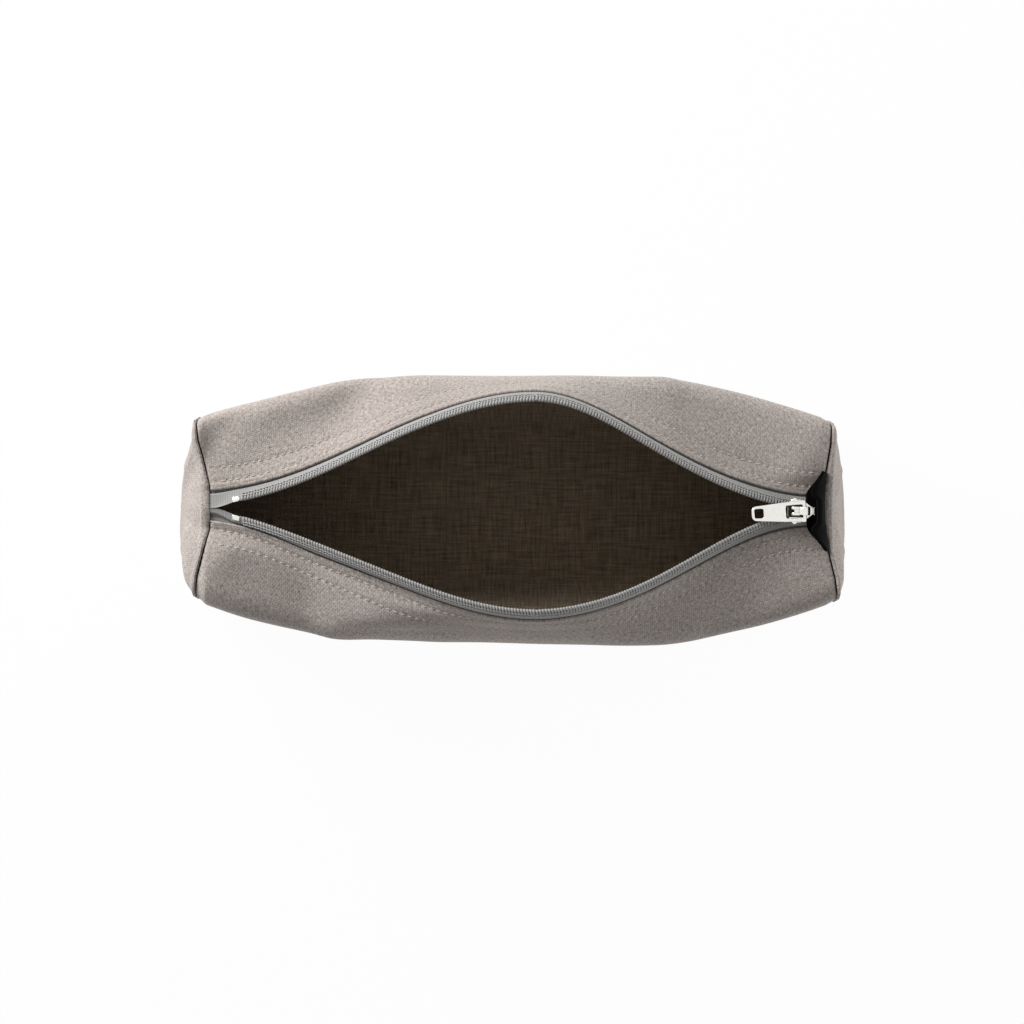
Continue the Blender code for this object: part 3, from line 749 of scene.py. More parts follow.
@dataclass(frozen=True)
class WovenCloth:
    """A woven cloth, drawn on its own millimetres along and around the piece.

    Two thread systems cross: each thread is a rounded ridge, its colour wanders along its length,
    and a wide soft variation lies over all. A twill adds diagonal ribs.
    """

    name: str
    dark: str
    light: str
    thread: float
    twill_pitch: float = 0.0
    twill: float = 0.0
    twill_angle: float = -32.0
    streak: float = 11.0
    heather: float = 0.5
    relief: float = 0.08
    sheen: float = 0.2
    roughness: float = 0.9
    blotch: float = 0.12
    blotch_size: float = 14.0

    def material(self) -> bpy.types.Material:
        """Build the material."""
        made, tree, shader = start_material(
            self.name, Roughness=self.roughness, Specular_IOR_Level=0.2, Sheen_Weight=self.sheen,
            Sheen_Roughness=0.45)
        place = add_node(tree, "ShaderNodeAttribute", attribute_name=CLOTH).outputs["Vector"]
        threads = []
        for turn in (0.0, math.pi / 2):
            along = add_node(tree, "ShaderNodeMapping", {"Vector": place, "Rotation": (0, 0, turn)})
            wave = add_node(tree, "ShaderNodeTexWave", {
                "Vector": along.outputs[0], "Scale": wave_scale(self.thread), "Distortion": 1.2,
                "Detail": 2.0, "Detail Scale": 0.6}, wave_type="BANDS", bands_direction="X")
            streak = add_node(tree, "ShaderNodeMapping", {
                "Vector": along.outputs[0], "Scale": (1 / self.thread, 1 / self.streak, 1)})
            slub = add_node(tree, "ShaderNodeTexNoise", {
                "Vector": streak.outputs[0], "Scale": 1.0, "Detail": 3.0, "Roughness": 0.6})
            threads.append((wave.outputs["Fac"], slub.outputs["Fac"]))
        ridges = add_node(tree, "ShaderNodeMath", {0: threads[0][0], 1: threads[1][0]},
                          operation="MAXIMUM")
        slubs = add_node(tree, "ShaderNodeMath", {0: threads[0][1], 1: threads[1][1]},
                         operation="ADD")
        tone = add_node(tree, "ShaderNodeMath", {0: slubs.outputs[0], 1: -1.0}, operation="ADD")
        tone = add_node(tree, "ShaderNodeMath", {
            0: tone.outputs[0], 1: self.heather * 2.4, 2: 0.5}, operation="MULTIPLY_ADD")
        height = ridges.outputs[0]
        if self.twill_pitch:
            slant = add_node(tree, "ShaderNodeMapping", {
                "Vector": place, "Rotation": (0, 0, math.radians(self.twill_angle))})
            rib = add_node(tree, "ShaderNodeTexWave", {
                "Vector": slant.outputs[0], "Scale": wave_scale(self.twill_pitch),
                "Distortion": 0.9, "Detail": 2.0, "Detail Scale": 1.5},
                wave_type="BANDS", bands_direction="X")
            height = add_node(tree, "ShaderNodeMath", {
                0: rib.outputs["Fac"], 1: 0.4, 2: height}, operation="MULTIPLY_ADD").outputs[0]
            tone = add_node(tree, "ShaderNodeMath", {
                0: rib.outputs["Fac"], 1: self.twill, 2: tone.outputs[0]},
                operation="MULTIPLY_ADD")
            tone = add_node(tree, "ShaderNodeMath", {0: tone.outputs[0], 1: -self.twill / 2},
                            operation="ADD")
        wide = add_node(tree, "ShaderNodeTexNoise", {
            "Vector": place, "Scale": 1 / self.blotch_size, "Detail": 3.0, "Roughness": 0.55})
        tone = add_node(tree, "ShaderNodeMath", {
            0: wide.outputs["Fac"], 1: self.blotch * 2, 2: tone.outputs[0]},
            operation="MULTIPLY_ADD")
        tone = add_node(tree, "ShaderNodeMath", {0: tone.outputs[0], 1: -self.blotch},
                        operation="ADD", use_clamp=True)
        lay_on(tree, shader, (self.dark, self.light), tone.outputs[0], height, 0.8, self.relief)
        return made


@dataclass(frozen=True)
class RibbedRibbon:
    """A narrow woven ribbon or zip tape, with fine ribs across its width."""

    name: str
    dark: str
    light: str
    rib: float
    relief: float
    sheen: float
    roughness: float
    gloss: float = 0.3

    def material(self) -> bpy.types.Material:
        """Build the material."""
        made, tree, shader = start_material(
            self.name, Roughness=self.roughness, Specular_IOR_Level=self.gloss,
            Sheen_Weight=self.sheen, Sheen_Roughness=0.4)
        place = add_node(tree, "ShaderNodeAttribute", attribute_name=CLOTH).outputs["Vector"]
        rib = add_node(tree, "ShaderNodeTexWave", {
            "Vector": place, "Scale": wave_scale(self.rib), "Distortion": 0.5, "Detail": 2.0,
            "Detail Scale": 2.0}, wave_type="BANDS", bands_direction="X")
        # Fibres 0.4 mm wide
        fibre = add_node(tree, "ShaderNodeTexNoise", {
            "Vector": place, "Scale": 2.5, "Detail": 4.0, "Roughness": 0.65})
        tone = add_node(tree, "ShaderNodeMath", {
            0: rib.outputs["Fac"], 1: 0.6, 2: fibre.outputs["Fac"]}, operation="MULTIPLY_ADD")
        tone = add_node(tree, "ShaderNodeMath", {0: tone.outputs[0], 1: -0.3}, operation="ADD",
                        use_clamp=True)
        lay_on(tree, shader, (self.dark, self.light), tone.outputs[0], rib.outputs["Fac"], 0.7,
               self.relief)
        return made


@dataclass(frozen=True)
class Filament:
    """Spun thread or drawn monofilament: a plain colour that wanders a little, with its gloss."""

    name: str
    dark: str
    light: str
    roughness: float
    gloss: float
    grain: float

    def material(self) -> bpy.types.Material:
        """Build the material."""
        made, tree, shader = start_material(self.name, Roughness=self.roughness,
                                            Specular_IOR_Level=self.gloss)
        place = add_node(tree, "ShaderNodeTexCoord").outputs["Object"]
        grain = add_node(tree, "ShaderNodeTexNoise", {
            "Vector": place, "Scale": 1 / (self.grain * MM), "Detail": 3.0, "Roughness": 0.6})
        lay_on(tree, shader, (self.dark, self.light), grain.outputs["Fac"], grain.outputs["Fac"],
               0.3, 0.03)
        return made


@dataclass(frozen=True)
class PlatedMetal:
    """Bright nickel on a zinc casting, tumbled: a soft gloss with faint handling marks."""

    name: str
    colour: str
    worn: str
    roughness: float

    def material(self) -> bpy.types.Material:
        """Build the material."""
        made, tree, shader = start_material(self.name, Metallic=1.0)
        place = add_node(tree, "ShaderNodeTexCoord").outputs["Object"]
        # Clouds of 1.4 mm in its gloss, and handling marks 0.25 mm wide and 2 mm long
        cloud = add_node(tree, "ShaderNodeTexNoise", {
            "Vector": place, "Scale": 700.0, "Detail": 4.0, "Roughness": 0.6})
        gloss = add_node(tree, "ShaderNodeMapRange", {
            "Value": cloud.outputs["Fac"], "From Min": 0.3, "From Max": 0.7,
            "To Min": self.roughness * 0.8, "To Max": self.roughness * 1.3})
        marks = add_node(tree, "ShaderNodeMapping", {"Vector": place, "Scale": (500, 4000, 4000)})
        scratch = add_node(tree, "ShaderNodeTexNoise", {
            "Vector": marks.outputs[0], "Scale": 1.0, "Detail": 2.0, "Roughness": 0.5})
        tree.links.new(gloss.outputs[0], shader.inputs["Roughness"])
        lay_on(tree, shader, (self.worn, self.colour), cloud.outputs["Fac"],
               scratch.outputs["Fac"], 0.15, 0.02)
        return made


@dataclass(frozen=True)
class Finishes:
    """Every finish of the case, built once.

    Attributes:
        canvas: cotton canvas in a steep twill of grey and brown yarns, which gives a warm grey
            with faint slanting ribs; the real ribs, 0.5 mm apart, are drawn at 0.75 mm to show.
        lining: plain woven cotton and linen with thick and thin threads, dark grey brown.
        tape: woven polyester zip tape, mid grey, with fine ribs across.
        coil: polyester monofilament, wound and heat set, with a satin gloss.
        thread: spun polyester sewing thread in light beige.
        core_thread: the zip's own grey sewing thread.
        metal: bright nickel over a zinc casting.
        dull_metal: zinc painted dark as the shade of the ribbon tab, on the stop that the slider
            hides.
        blackened: dark zinc in the slider's top under the pull's window, as painted shade and
            painted reflection of the pull's dark underside.
        ribbon: black grosgrain ribbon.
    """

    canvas: bpy.types.Material
    lining: bpy.types.Material
    tape: bpy.types.Material
    coil: bpy.types.Material
    thread: bpy.types.Material
    core_thread: bpy.types.Material
    metal: bpy.types.Material
    dull_metal: bpy.types.Material
    blackened: bpy.types.Material
    ribbon: bpy.types.Material

    @classmethod
    def build(cls) -> "Finishes":
        """Build the materials."""
        return cls(
            canvas=WovenCloth("cotton_twill_canvas", "#776e69", "#c1b8b1", thread=0.6,
                              twill_pitch=0.75, twill=0.13, heather=0.58, streak=1.2,
                              relief=0.07).material(),
            lining=WovenCloth("slub_lining_cloth", "#4e4337", "#9a8872", thread=0.7,
                              heather=0.55, relief=0.1, sheen=0.1, blotch=0.08).material(),
            tape=RibbedRibbon("woven_zip_tape", "#8b8a88", "#a9a8a6", rib=0.55, relief=0.06,
                              sheen=0.1, roughness=0.85).material(),
            coil=Filament("polyester_zip_coil", "#8f8e8c", "#abaaa8", roughness=0.55, gloss=0.25,
                          grain=1.5).material(),
            thread=Filament("spun_sewing_thread", "#aba298", "#cbc2b7", roughness=0.75, gloss=0.3,
                            grain=0.4).material(),
            core_thread=Filament("zip_sewing_thread", "#989795", "#b6b5b3", roughness=0.7,
                                 gloss=0.3, grain=0.4).material(),
            metal=PlatedMetal("nickel_plated_zinc", "#f1f0eb", "#e0ded8", roughness=0.22
                              ).material(),
            # The stop's zinc is painted dark: painted shade of the ribbon tab that leans over it.
            dull_metal=PlatedMetal("zinc_painted_stop_shade", "#5c5b58", "#4a4946", roughness=0.5).material(),
            # Dark zinc for the slider under the pull's window: painted shade and painted reflection.
            blackened=Filament("blackened_zinc", "#1d1c1a", "#33312e", roughness=0.6, gloss=0.2,
                               grain=0.5).material(),
            ribbon=RibbedRibbon("black_grosgrain", "#030303", "#101010", rib=0.7, relief=0.1,
                                sheen=0.0, roughness=0.8, gloss=0.03).material(),
        )


# Canvas and lining


def half_places(stretches: Sequence[tuple[float, float, int]]) -> Array:
    """Return places along the half section from stretches of start, end and number of steps."""
    runs = [np.linspace(start, end, steps, endpoint=False) for start, end, steps in stretches]
    return np.concatenate(runs + [[stretches[-1][1]]])


@dataclass
class CanvasBody:
    """The canvas that wraps from one zip edge round the base to the other, and its topstitching.

    It is made in four quarters, split at the zip's peak and along the base.
    """

    form: CaseForm
    motion: LipMotion
    finishes: Finishes
    roll_width: float = 1.1 * MM
    roll_depth: float = 0.65 * MM
    roll_rows: tuple[float, ...] = (0.12, 0.28, 0.46, 0.66, 0.86)
    hem_lift: float = 0.2 * MM
    hem_width: float = 2.3 * MM
    hem_step: float = 0.5 * MM
    hem_points: int = 4
    stitch_rows: tuple[float, ...] = (2.6 * MM, 6.9 * MM)
    stitch_pitch: float = 2.4 * MM
    stitch_length: float = 1.75 * MM
    stitch_inset: float = 1.8 * MM
    # How far a stitch stands up at its middle and how much lower its ends lie, in millimetres
    stitch_rise: tuple[float, float] = (0.08, 0.42)
    thread_radius: float = 0.18 * MM
    thread_shares: tuple[float, ...] = (0.7, 1, 1.05, 1, 0.7)
    furrow: float = 0.18 * MM
    furrow_width: float = 0.6 * MM
    # Shares of the furrow's depth: along the stitches, and what the needle's pits add
    furrow_shares: tuple[float, float] = (0.55, 0.9)
    overlap_share: float = 0.3
    overlap_end: float = -60 * MM
    overlap_fade: float = 25 * MM

    def overlap(self, x: Array, side: Side) -> Array:
        """Return how far the canvas reaches over the strip at x, as a share of its width."""
        if side == Side.BACK:
            return 0 * x
        return self.overlap_share * smooth((self.overlap_end - x) / self.overlap_fade)

    def from_edge(self, x: Array, place: Array, side: Side) -> Array:
        """Return the distance of a place from the canvas edge, in metres."""
        wide = self.form.strip_width
        away = (5 - place) * np.where(place < 5, self.form.flap_length(x, side), wide)
        return away + self.overlap(x, side) * wide

    def at_distance(self, x: Array, distance: float, side: Side) -> Array:
        """Return the place on the flap that lies at a distance from the canvas edge."""
        on_flap = distance - self.overlap(x, side) * self.form.strip_width
        return 5 - on_flap / self.form.flap_length(x, side)

    def edge_run(self, x: Array, side: Side) -> Array:
        """Return the way along the canvas edge from the case's left end to x, in metres."""
        line = np.linspace(-self.form.seam, self.form.seam, 800)
        edge = self.form.section(line, 5 + 0 * line, side)
        steps = np.linalg.norm(np.diff(np.column_stack([line, edge]), axis=0), axis=1)
        return np.interp(x, line, np.concatenate([[0], np.cumsum(steps)]))

    def face_depth(self, x: Array, place: Array, side: Side) -> Array:
        """Return how deep the canvas's outer face lies in the form, in metres.

        At each end seam it rolls in along a quarter circle, drawn in a little at every stitch. The
        hem along the zip stands up by the thickness of its turning. Under each row of topstitching
        runs a furrow, deepest where the needle went in.
        """
        depth = np.zeros(np.broadcast(x, place).shape)
        pucker = self.form.pucker(self.form.girth(place))
        for end in End:
            away = (self.form.seam_x(place, end) - x) * end
            near = np.clip(1 - away / self.roll_width, 0, 1)
            depth = depth + self.roll_depth * (1 - np.sqrt(1 - near**2)) * pucker
        from_edge = self.from_edge(x, place, side)
        depth = depth - self.hem_lift * smooth((self.hem_width - from_edge) / self.hem_step)
        pits = np.cos(math.pi * self.edge_run(x, side) / self.stitch_pitch) ** 6
        drawn = self.furrow_shares[0] + self.furrow_shares[1] * pits
        for row in self.stitch_rows:
            depth = depth + self.furrow * drawn * bell(from_edge - row, self.furrow_width)
        return depth

    def face(self, side: Side) -> Surface:
        """Return the canvas's outer face on one side as a function of x and place."""
        return lambda x, place: self.form.point(x, place, side, self.face_depth(x, place, side))

    def quarter(self, side: Side, end: End) -> Shape:
        """Make one quarter of the canvas, with its edge along the zip turned in as a round hem.

        The hem is a half circle from the outer face to the inner one.
        """
        form, points = self.form, self.hem_points
        places = half_places([(0, 1, 5), (1, 2, 7), (2, 3, 26), (3, 4, 14), (4, 4.55, 12),
                              (4.55, 5, 24)])
        run = np.linspace(0, 1, 130)
        roll = self.roll_width / (form.seam + form.opening_peak)
        crowd = np.array(self.roll_rows) * roll
        run = np.sort(np.concatenate([run, crowd if end == End.LEFT else 1 - crowd]))[:, None]
        half = (form.canvas + self.hem_lift) / 2
        edge_x = form.quarter(end, run, np.full((1, 1), 5.0))
        reach = self.overlap(edge_x, side)
        last = np.where(reach > 0.1, 5 + reach - half / form.strip_width,
                        self.at_distance(edge_x, half, side))
        place = np.where(places > 4, 4 + (places - 4) * (last - 4), places)
        x = form.quarter(end, run, place)
        face = self.face(side)
        outer, outward = face(x, place), face_normals(face, x, place, side)
        inner = form.point(x, place, side, form.canvas + 0 * x)
        inner_out = face_normals(lambda a, b: form.point(a, b, side, form.canvas + 0 * a), x, place,
                                 side)
        edge = form.section(edge_x, 5 + reach, side)
        along = unit(edge - form.section(edge_x, 4.95 + reach, side))
        inward = np.stack([-along[..., 1], along[..., 0]], -1) * side
        turn = np.linspace(0, math.pi, 2 * points + 2)[None, 1:-1, None]
        heart = edge - along * half + inward * (half - self.hem_lift)
        away = along * np.sin(turn) - inward * np.cos(turn)
        arc_x = np.broadcast_to(edge_x, away.shape[:2])[..., None]
        arc = np.concatenate([arc_x, heart + away * half], -1)
        arc_out = np.concatenate([0 * arc_x, away], -1)
        cloth = form.cloth_place(x, place, side)
        cloth = np.concatenate([cloth, np.repeat(cloth[:, -1:], points, axis=1)], 1)
        return layer(np.concatenate([outer, arc[:, :points]], 1),
                     np.concatenate([inner, arc[:, :points - 1:-1]], 1),
                     np.concatenate([outward, arc_out[:, :points]], 1),
                     np.concatenate([-inner_out, arc_out[:, :points - 1:-1]], 1),
                     cloth, side == Side.BACK, True)

    def stitches(self, side: Side, end: End) -> Shape:
        """Make the topstitches of one quarter: short tubes whose ends dive into the cloth."""
        form = self.form
        seam = float(form.seam_x(np.array(5.0), end))
        low, high = sorted((seam - end * self.stitch_inset, form.opening_peak))
        line = np.linspace(low, high, 600)
        run = self.edge_run(line, side)
        first, last = math.ceil(run[0] / self.stitch_pitch), int(run[-1] / self.stitch_pitch)
        centres = (np.arange(first, last) + 0.5) * self.stitch_pitch
        shares = np.linspace(-1, 1, len(self.thread_shares))
        x = np.interp(centres[:, None] + shares * self.stitch_length / 2, run, line)
        middle, drop = self.stitch_rise
        rise = (middle - drop * shares**2 * np.abs(shares)) * MM + 0 * x
        radii = self.thread_radius * np.array(self.thread_shares)
        made = None
        for row in self.stitch_rows:
            place = self.at_distance(x, row, side)
            depth = self.face_depth(x, place, side)
            paths = form.point(x, place, side, depth - rise)
            out = face_normals(self.face(side), x, place, side)
            beside = unit(np.cross(out, np.gradient(paths, axis=1)))
            shape = tubes(paths, radii, beside, 6)
            made = shape if made is None else made.add(shape)
        return made

    def build(self) -> None:
        """Make the four quarters with their stitches."""
        for side, end, label, lip in quarters():
            start, finish = self.motion.cloth(side, end)
            canvas = self.quarter(side, end).piece(f"canvas_{label}", self.finishes.canvas)
            thread = self.stitches(side, end).piece(f"topstitch_{label}", self.finishes.thread)
            for piece in (canvas, thread):
                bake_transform(piece)
                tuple(start)
                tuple(finish)
            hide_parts("body_panel")
            LOG.info("canvas quarter %s with %d points", label, len(canvas.data.vertices))


@dataclass
class BodyLining:
    """The lining inside the canvas, in four quarters as the canvas, slack between its seams."""

    form: CaseForm
    motion: LipMotion
    finishes: Finishes
    top_place: float = 4.85
    end_room: float = 0.5 * MM
    slack: float = 1.1 * MM

    def sag(self, x: Array, place: Array, side: Side) -> Array:
        """Return how far the slack lining stands into the case, in metres.

        Three trains of soft waves cross, always towards the inside, and fade out at the seams.
        """
        along, around = x / MM, self.form.girth(place)
        # Their heights are 1, 0.7 and 0.5, and their sum is brought to between 0 and 1
        waves = (np.sin(along * 0.105 + around * 0.06 * side + side)
                 + 0.7 * np.sin(along * 0.062 - around * 0.13 + 2.1 * side)
                 + 0.5 * np.sin(along * 0.21 + around * 0.10 + 0.6) + 2.2) / 4.4
        ends = smooth((self.form.seam - np.abs(x)) / (14 * MM))
        top = smooth((self.top_place - place) / 0.5)
        return self.slack * waves * ends * top * (0.35 + 0.65 * smooth(place - 1))

    def quarter(self, side: Side, end: End) -> Shape:
        """Make one quarter of the lining."""
        form = self.form
        places = half_places([(0, 1, 8), (1, 2, 9), (2, 3, 22), (3, 4, 10),
                              (4, self.top_place, 10)])
        run = np.linspace(0, 1, 80)[:, None]
        place = places[None] + 0 * run
        x = form.quarter(end, run, place, -self.end_room)
        start = form.canvas + form.gap + form.tape + form.gap

        def at(extra: float) -> Surface:
            """Return the surface that lies an extra depth below the lining's outer face."""
            return lambda a, b: form.point(a, b, side, start + extra + self.sag(a, b, side))

        outer, inner = at(0.0), at(form.lining)
        return sheet_between(outer, inner, x, place, side, form.cloth_place(x, place, side))

    def build(self) -> None:
        """Make the four quarters."""
        for side, end, label, lip in quarters():
            start, finish = self.motion.cloth(side, end)
            piece = self.quarter(side, end).piece(f"lining_{label}", self.finishes.lining)
            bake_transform(piece)
            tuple(start)
            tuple(finish)
            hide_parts("body_lining")
            LOG.info("lining quarter %s", label)


@dataclass
class EndPanels:
    """The two canvas ends with their linings.

    A ring of points follows the seam all round. From it the cloth rolls up out of the seam. Over
    the flaps it then runs outwards to a soft ridge, almost straight across the end, and from
    there, as from the sides, it swells to the middle of the end. The whole end leans: it stands
    out less at the back than at the front.
    """

    form: CaseForm
    finishes: Finishes
    gaps: tuple[float, float] = (0.25 * MM, 0.45 * MM)
    rolls: tuple[float, float] = (0.2 * MM, 0.5 * MM)
    bends: tuple[float, float] = (0.15 * MM, 0.8 * MM)
    # x of the ridge over the flaps: half way across, and at the corners
    ridges: tuple[tuple[float, float], ...] = ((97.4 * MM, 99.4 * MM), (98.5 * MM, 99.8 * MM))
    strip_shares: tuple[float, ...] = (0.3, 0.6, 0.85)
    strip_lift: float = 0.15 * MM
    least_strip: float = 0.1 * MM
    # The corner where the seam turns over the fold, in millimetres around: its place, how far its
    # draw reaches, what it takes away, and the stretch over which the strip to the ridge widens
    corner_at: float = 61
    corner_width: float = 4
    corner_draw: float = 0.6
    corner_widening: float = 9
    groove: float = 0.5 * MM
    centre_height: float = 22 * MM
    powers: tuple[float, float] = (2.6, 2.4)
    bulges: tuple[float, float] = (6.0 * MM, 4.4 * MM)
    leans: tuple[float, float] = (0.05, 0.03)
    rings: int = 34
    lining_inset: float = 2.0 * MM

    def outline(self) -> tuple[Array, Array]:
        """Return places and sides round the seam, from the front tooth tips to the back ones."""
        half = half_places([(0, 1, 8), (1, 2, 10), (2, 3, 30), (3, 4, 20), (4, 5, 50), (5, 6, 8)])
        places = np.concatenate([half[::-1], half[1:]])
        sides = np.concatenate([np.full(len(half), Side.FRONT), np.full(len(half) - 1, Side.BACK)])
        return places, sides

    def by_side(self, act: Callable[[Array, Side], Array], places: Array,
                sides: Array) -> Array:
        """Return a function's values round the outline, worked out on either side."""
        front, back = act(places, Side.FRONT), act(places, Side.BACK)
        pick = (sides == Side.FRONT).reshape(-1, *[1] * (front.ndim - 1))
        return np.where(pick, front, back)

    def face(self, end: End, inset: float) -> Shape:
        """Make the outer face of one end as rings that shrink to its centre.

        Args:
            end: which end.
            inset: how far the whole face is drawn in, for the lining.
        """
        form = self.form
        places, sides = self.outline()
        seam = form.seam_x(places, end)
        rim = self.by_side(lambda p, s: form.point(seam, p, s, 0 * seam), places, sides)
        inward = self.by_side(lambda p, s: form.inward(seam, p, s), places, sides)
        around = form.girth(places) * sides
        over = smooth((places - 3) / 0.9)
        # Where the seam turns over the fold of the flap the end is drawn in behind the canvas
        past = np.abs(around) - self.corner_at
        drawn = 1 - self.corner_draw * bell(past, self.corner_width)
        gap, roll, bend = ((low + (high - low) * over) * drawn
                           for low, high in (self.gaps, self.rolls, self.bends))
        middle_x, corner_x = self.ridges[0 if end == End.LEFT else 1]
        ridge = middle_x + (corner_x - middle_x) * (rim[:, 1] / form.end_half_width) ** 2
        strip = ridge - np.abs(rim[:, 0]) - gap - roll - bend
        strip = np.maximum(strip * smooth(past / self.corner_widening), 0) + self.least_strip
        pucker = form.pucker(around)
        turn = np.linspace(0, math.pi / 2, 6)
        out = [gap + roll * np.sin(t) for t in turn]
        deep = [self.groove * (1 - np.sin(t)) * pucker for t in turn]
        for share in self.strip_shares:
            out.append(gap + roll + strip * share)
            deep.append(-self.strip_lift * over * math.sin(share * math.pi))
        for t in turn[1:]:
            out.append(gap + roll + strip + bend * np.sin(t))
            deep.append(bend * (1 - np.cos(t)))
        out, deep = np.stack(out), np.stack(deep)
        edge = np.concatenate([(rim[:, 0] + end * (out - inset))[..., None],
                               rim[:, 1:] + (deep + inset)[..., None] * inward], -1)
        last = edge[-1]
        bulge = self.bulges[0 if end == End.LEFT else 1]
        middle = np.array([end * (form.seam + bulge - inset), 0, self.centre_height])
        share = np.linspace(0, 1, self.rings + 1)[1:-1, None, None]
        inner = last + (middle - last) * share
        power = self.powers[0] + (self.powers[1] - self.powers[0]) * over
        swell = 1 - (1 - share[..., 0]) ** power
        inner[..., 0] = last[:, 0] + (middle[0] - last[:, 0]) * swell
        lean = self.leans[0 if end == End.LEFT else 1]
        inner[..., 0] -= end * lean * inner[..., 1] * smooth(share[..., 0] * 6)
        inner[..., 0] += end * self.creases(inner[..., 1], inner[..., 2], end) * (
            smooth(share[..., 0] * 5) * smooth((1 - share[..., 0]) * 4))
        points = np.concatenate([edge, inner])
        rows, columns = points.shape[:2]
        quads = ring_quads(rows, columns)
        tip = (rows - 1) * columns
        fan = [[tip + j, tip + (j + 1) % columns, rows * columns] for j in range(columns)]
        every = np.concatenate([points.reshape(-1, 3), [middle]])
        # The cloth lies square on the end, and runs on over its ridge and sides
        short = abs(middle[0]) - np.abs(every[:, 0])
        on_top = np.append(np.tile(over, rows), 0)
        cloth = np.stack([every[:, 1] + (1 - on_top) * np.sign(every[:, 1]) * short,
                          every[:, 2] + on_top * short, 0 * short], -1) / MM
        shape = Shape(every, quads, fan, cloth)
        return turned(shape) if end == End.LEFT else shape

    def creases(self, y: Array, z: Array, end: End) -> Array:
        """Return soft folds on the end face, from bells of given heights and widths in mm.

        They are a shallow dent across it, two slanting ridges, and two that fan out to its upper
        corners.
        """
        across, up = y / MM, z / MM
        dent = -0.6 * bell(up - 33 + 0.1 * across * end, 6) * bell(across, 22)
        ridge = 0.5 * bell(up - 26 - 0.35 * across, 3.5) + 0.4 * bell(up - 14 + 0.3 * across, 4)
        fan = 0.35 * bell(np.abs(across) - (44 - up) * 0.9 - 2, 2.0) * smooth((up - 24) / 8)
        return (dent + ridge * bell(across, 18) + fan) * MM

    def build(self) -> None:
        """Make both ends."""
        for end in End:
            label = end.name.lower()
            panel = self.face(end, 0.0).piece(f"{label}_end_canvas", self.finishes.canvas)
            lining = self.face(end, self.lining_inset).piece(f"{label}_end_lining_cloth",
                                                             self.finishes.lining)
            for piece, node, slot, thick in (
                    (panel, f"{label}_end_panel", "canvas", self.form.canvas),
                    (lining, f"{label}_end_lining", "lining", self.form.lining)):
                thicken(piece, thick)
                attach(piece, "case")
                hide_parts(node)
            LOG.info("%s end", label)


# The zip


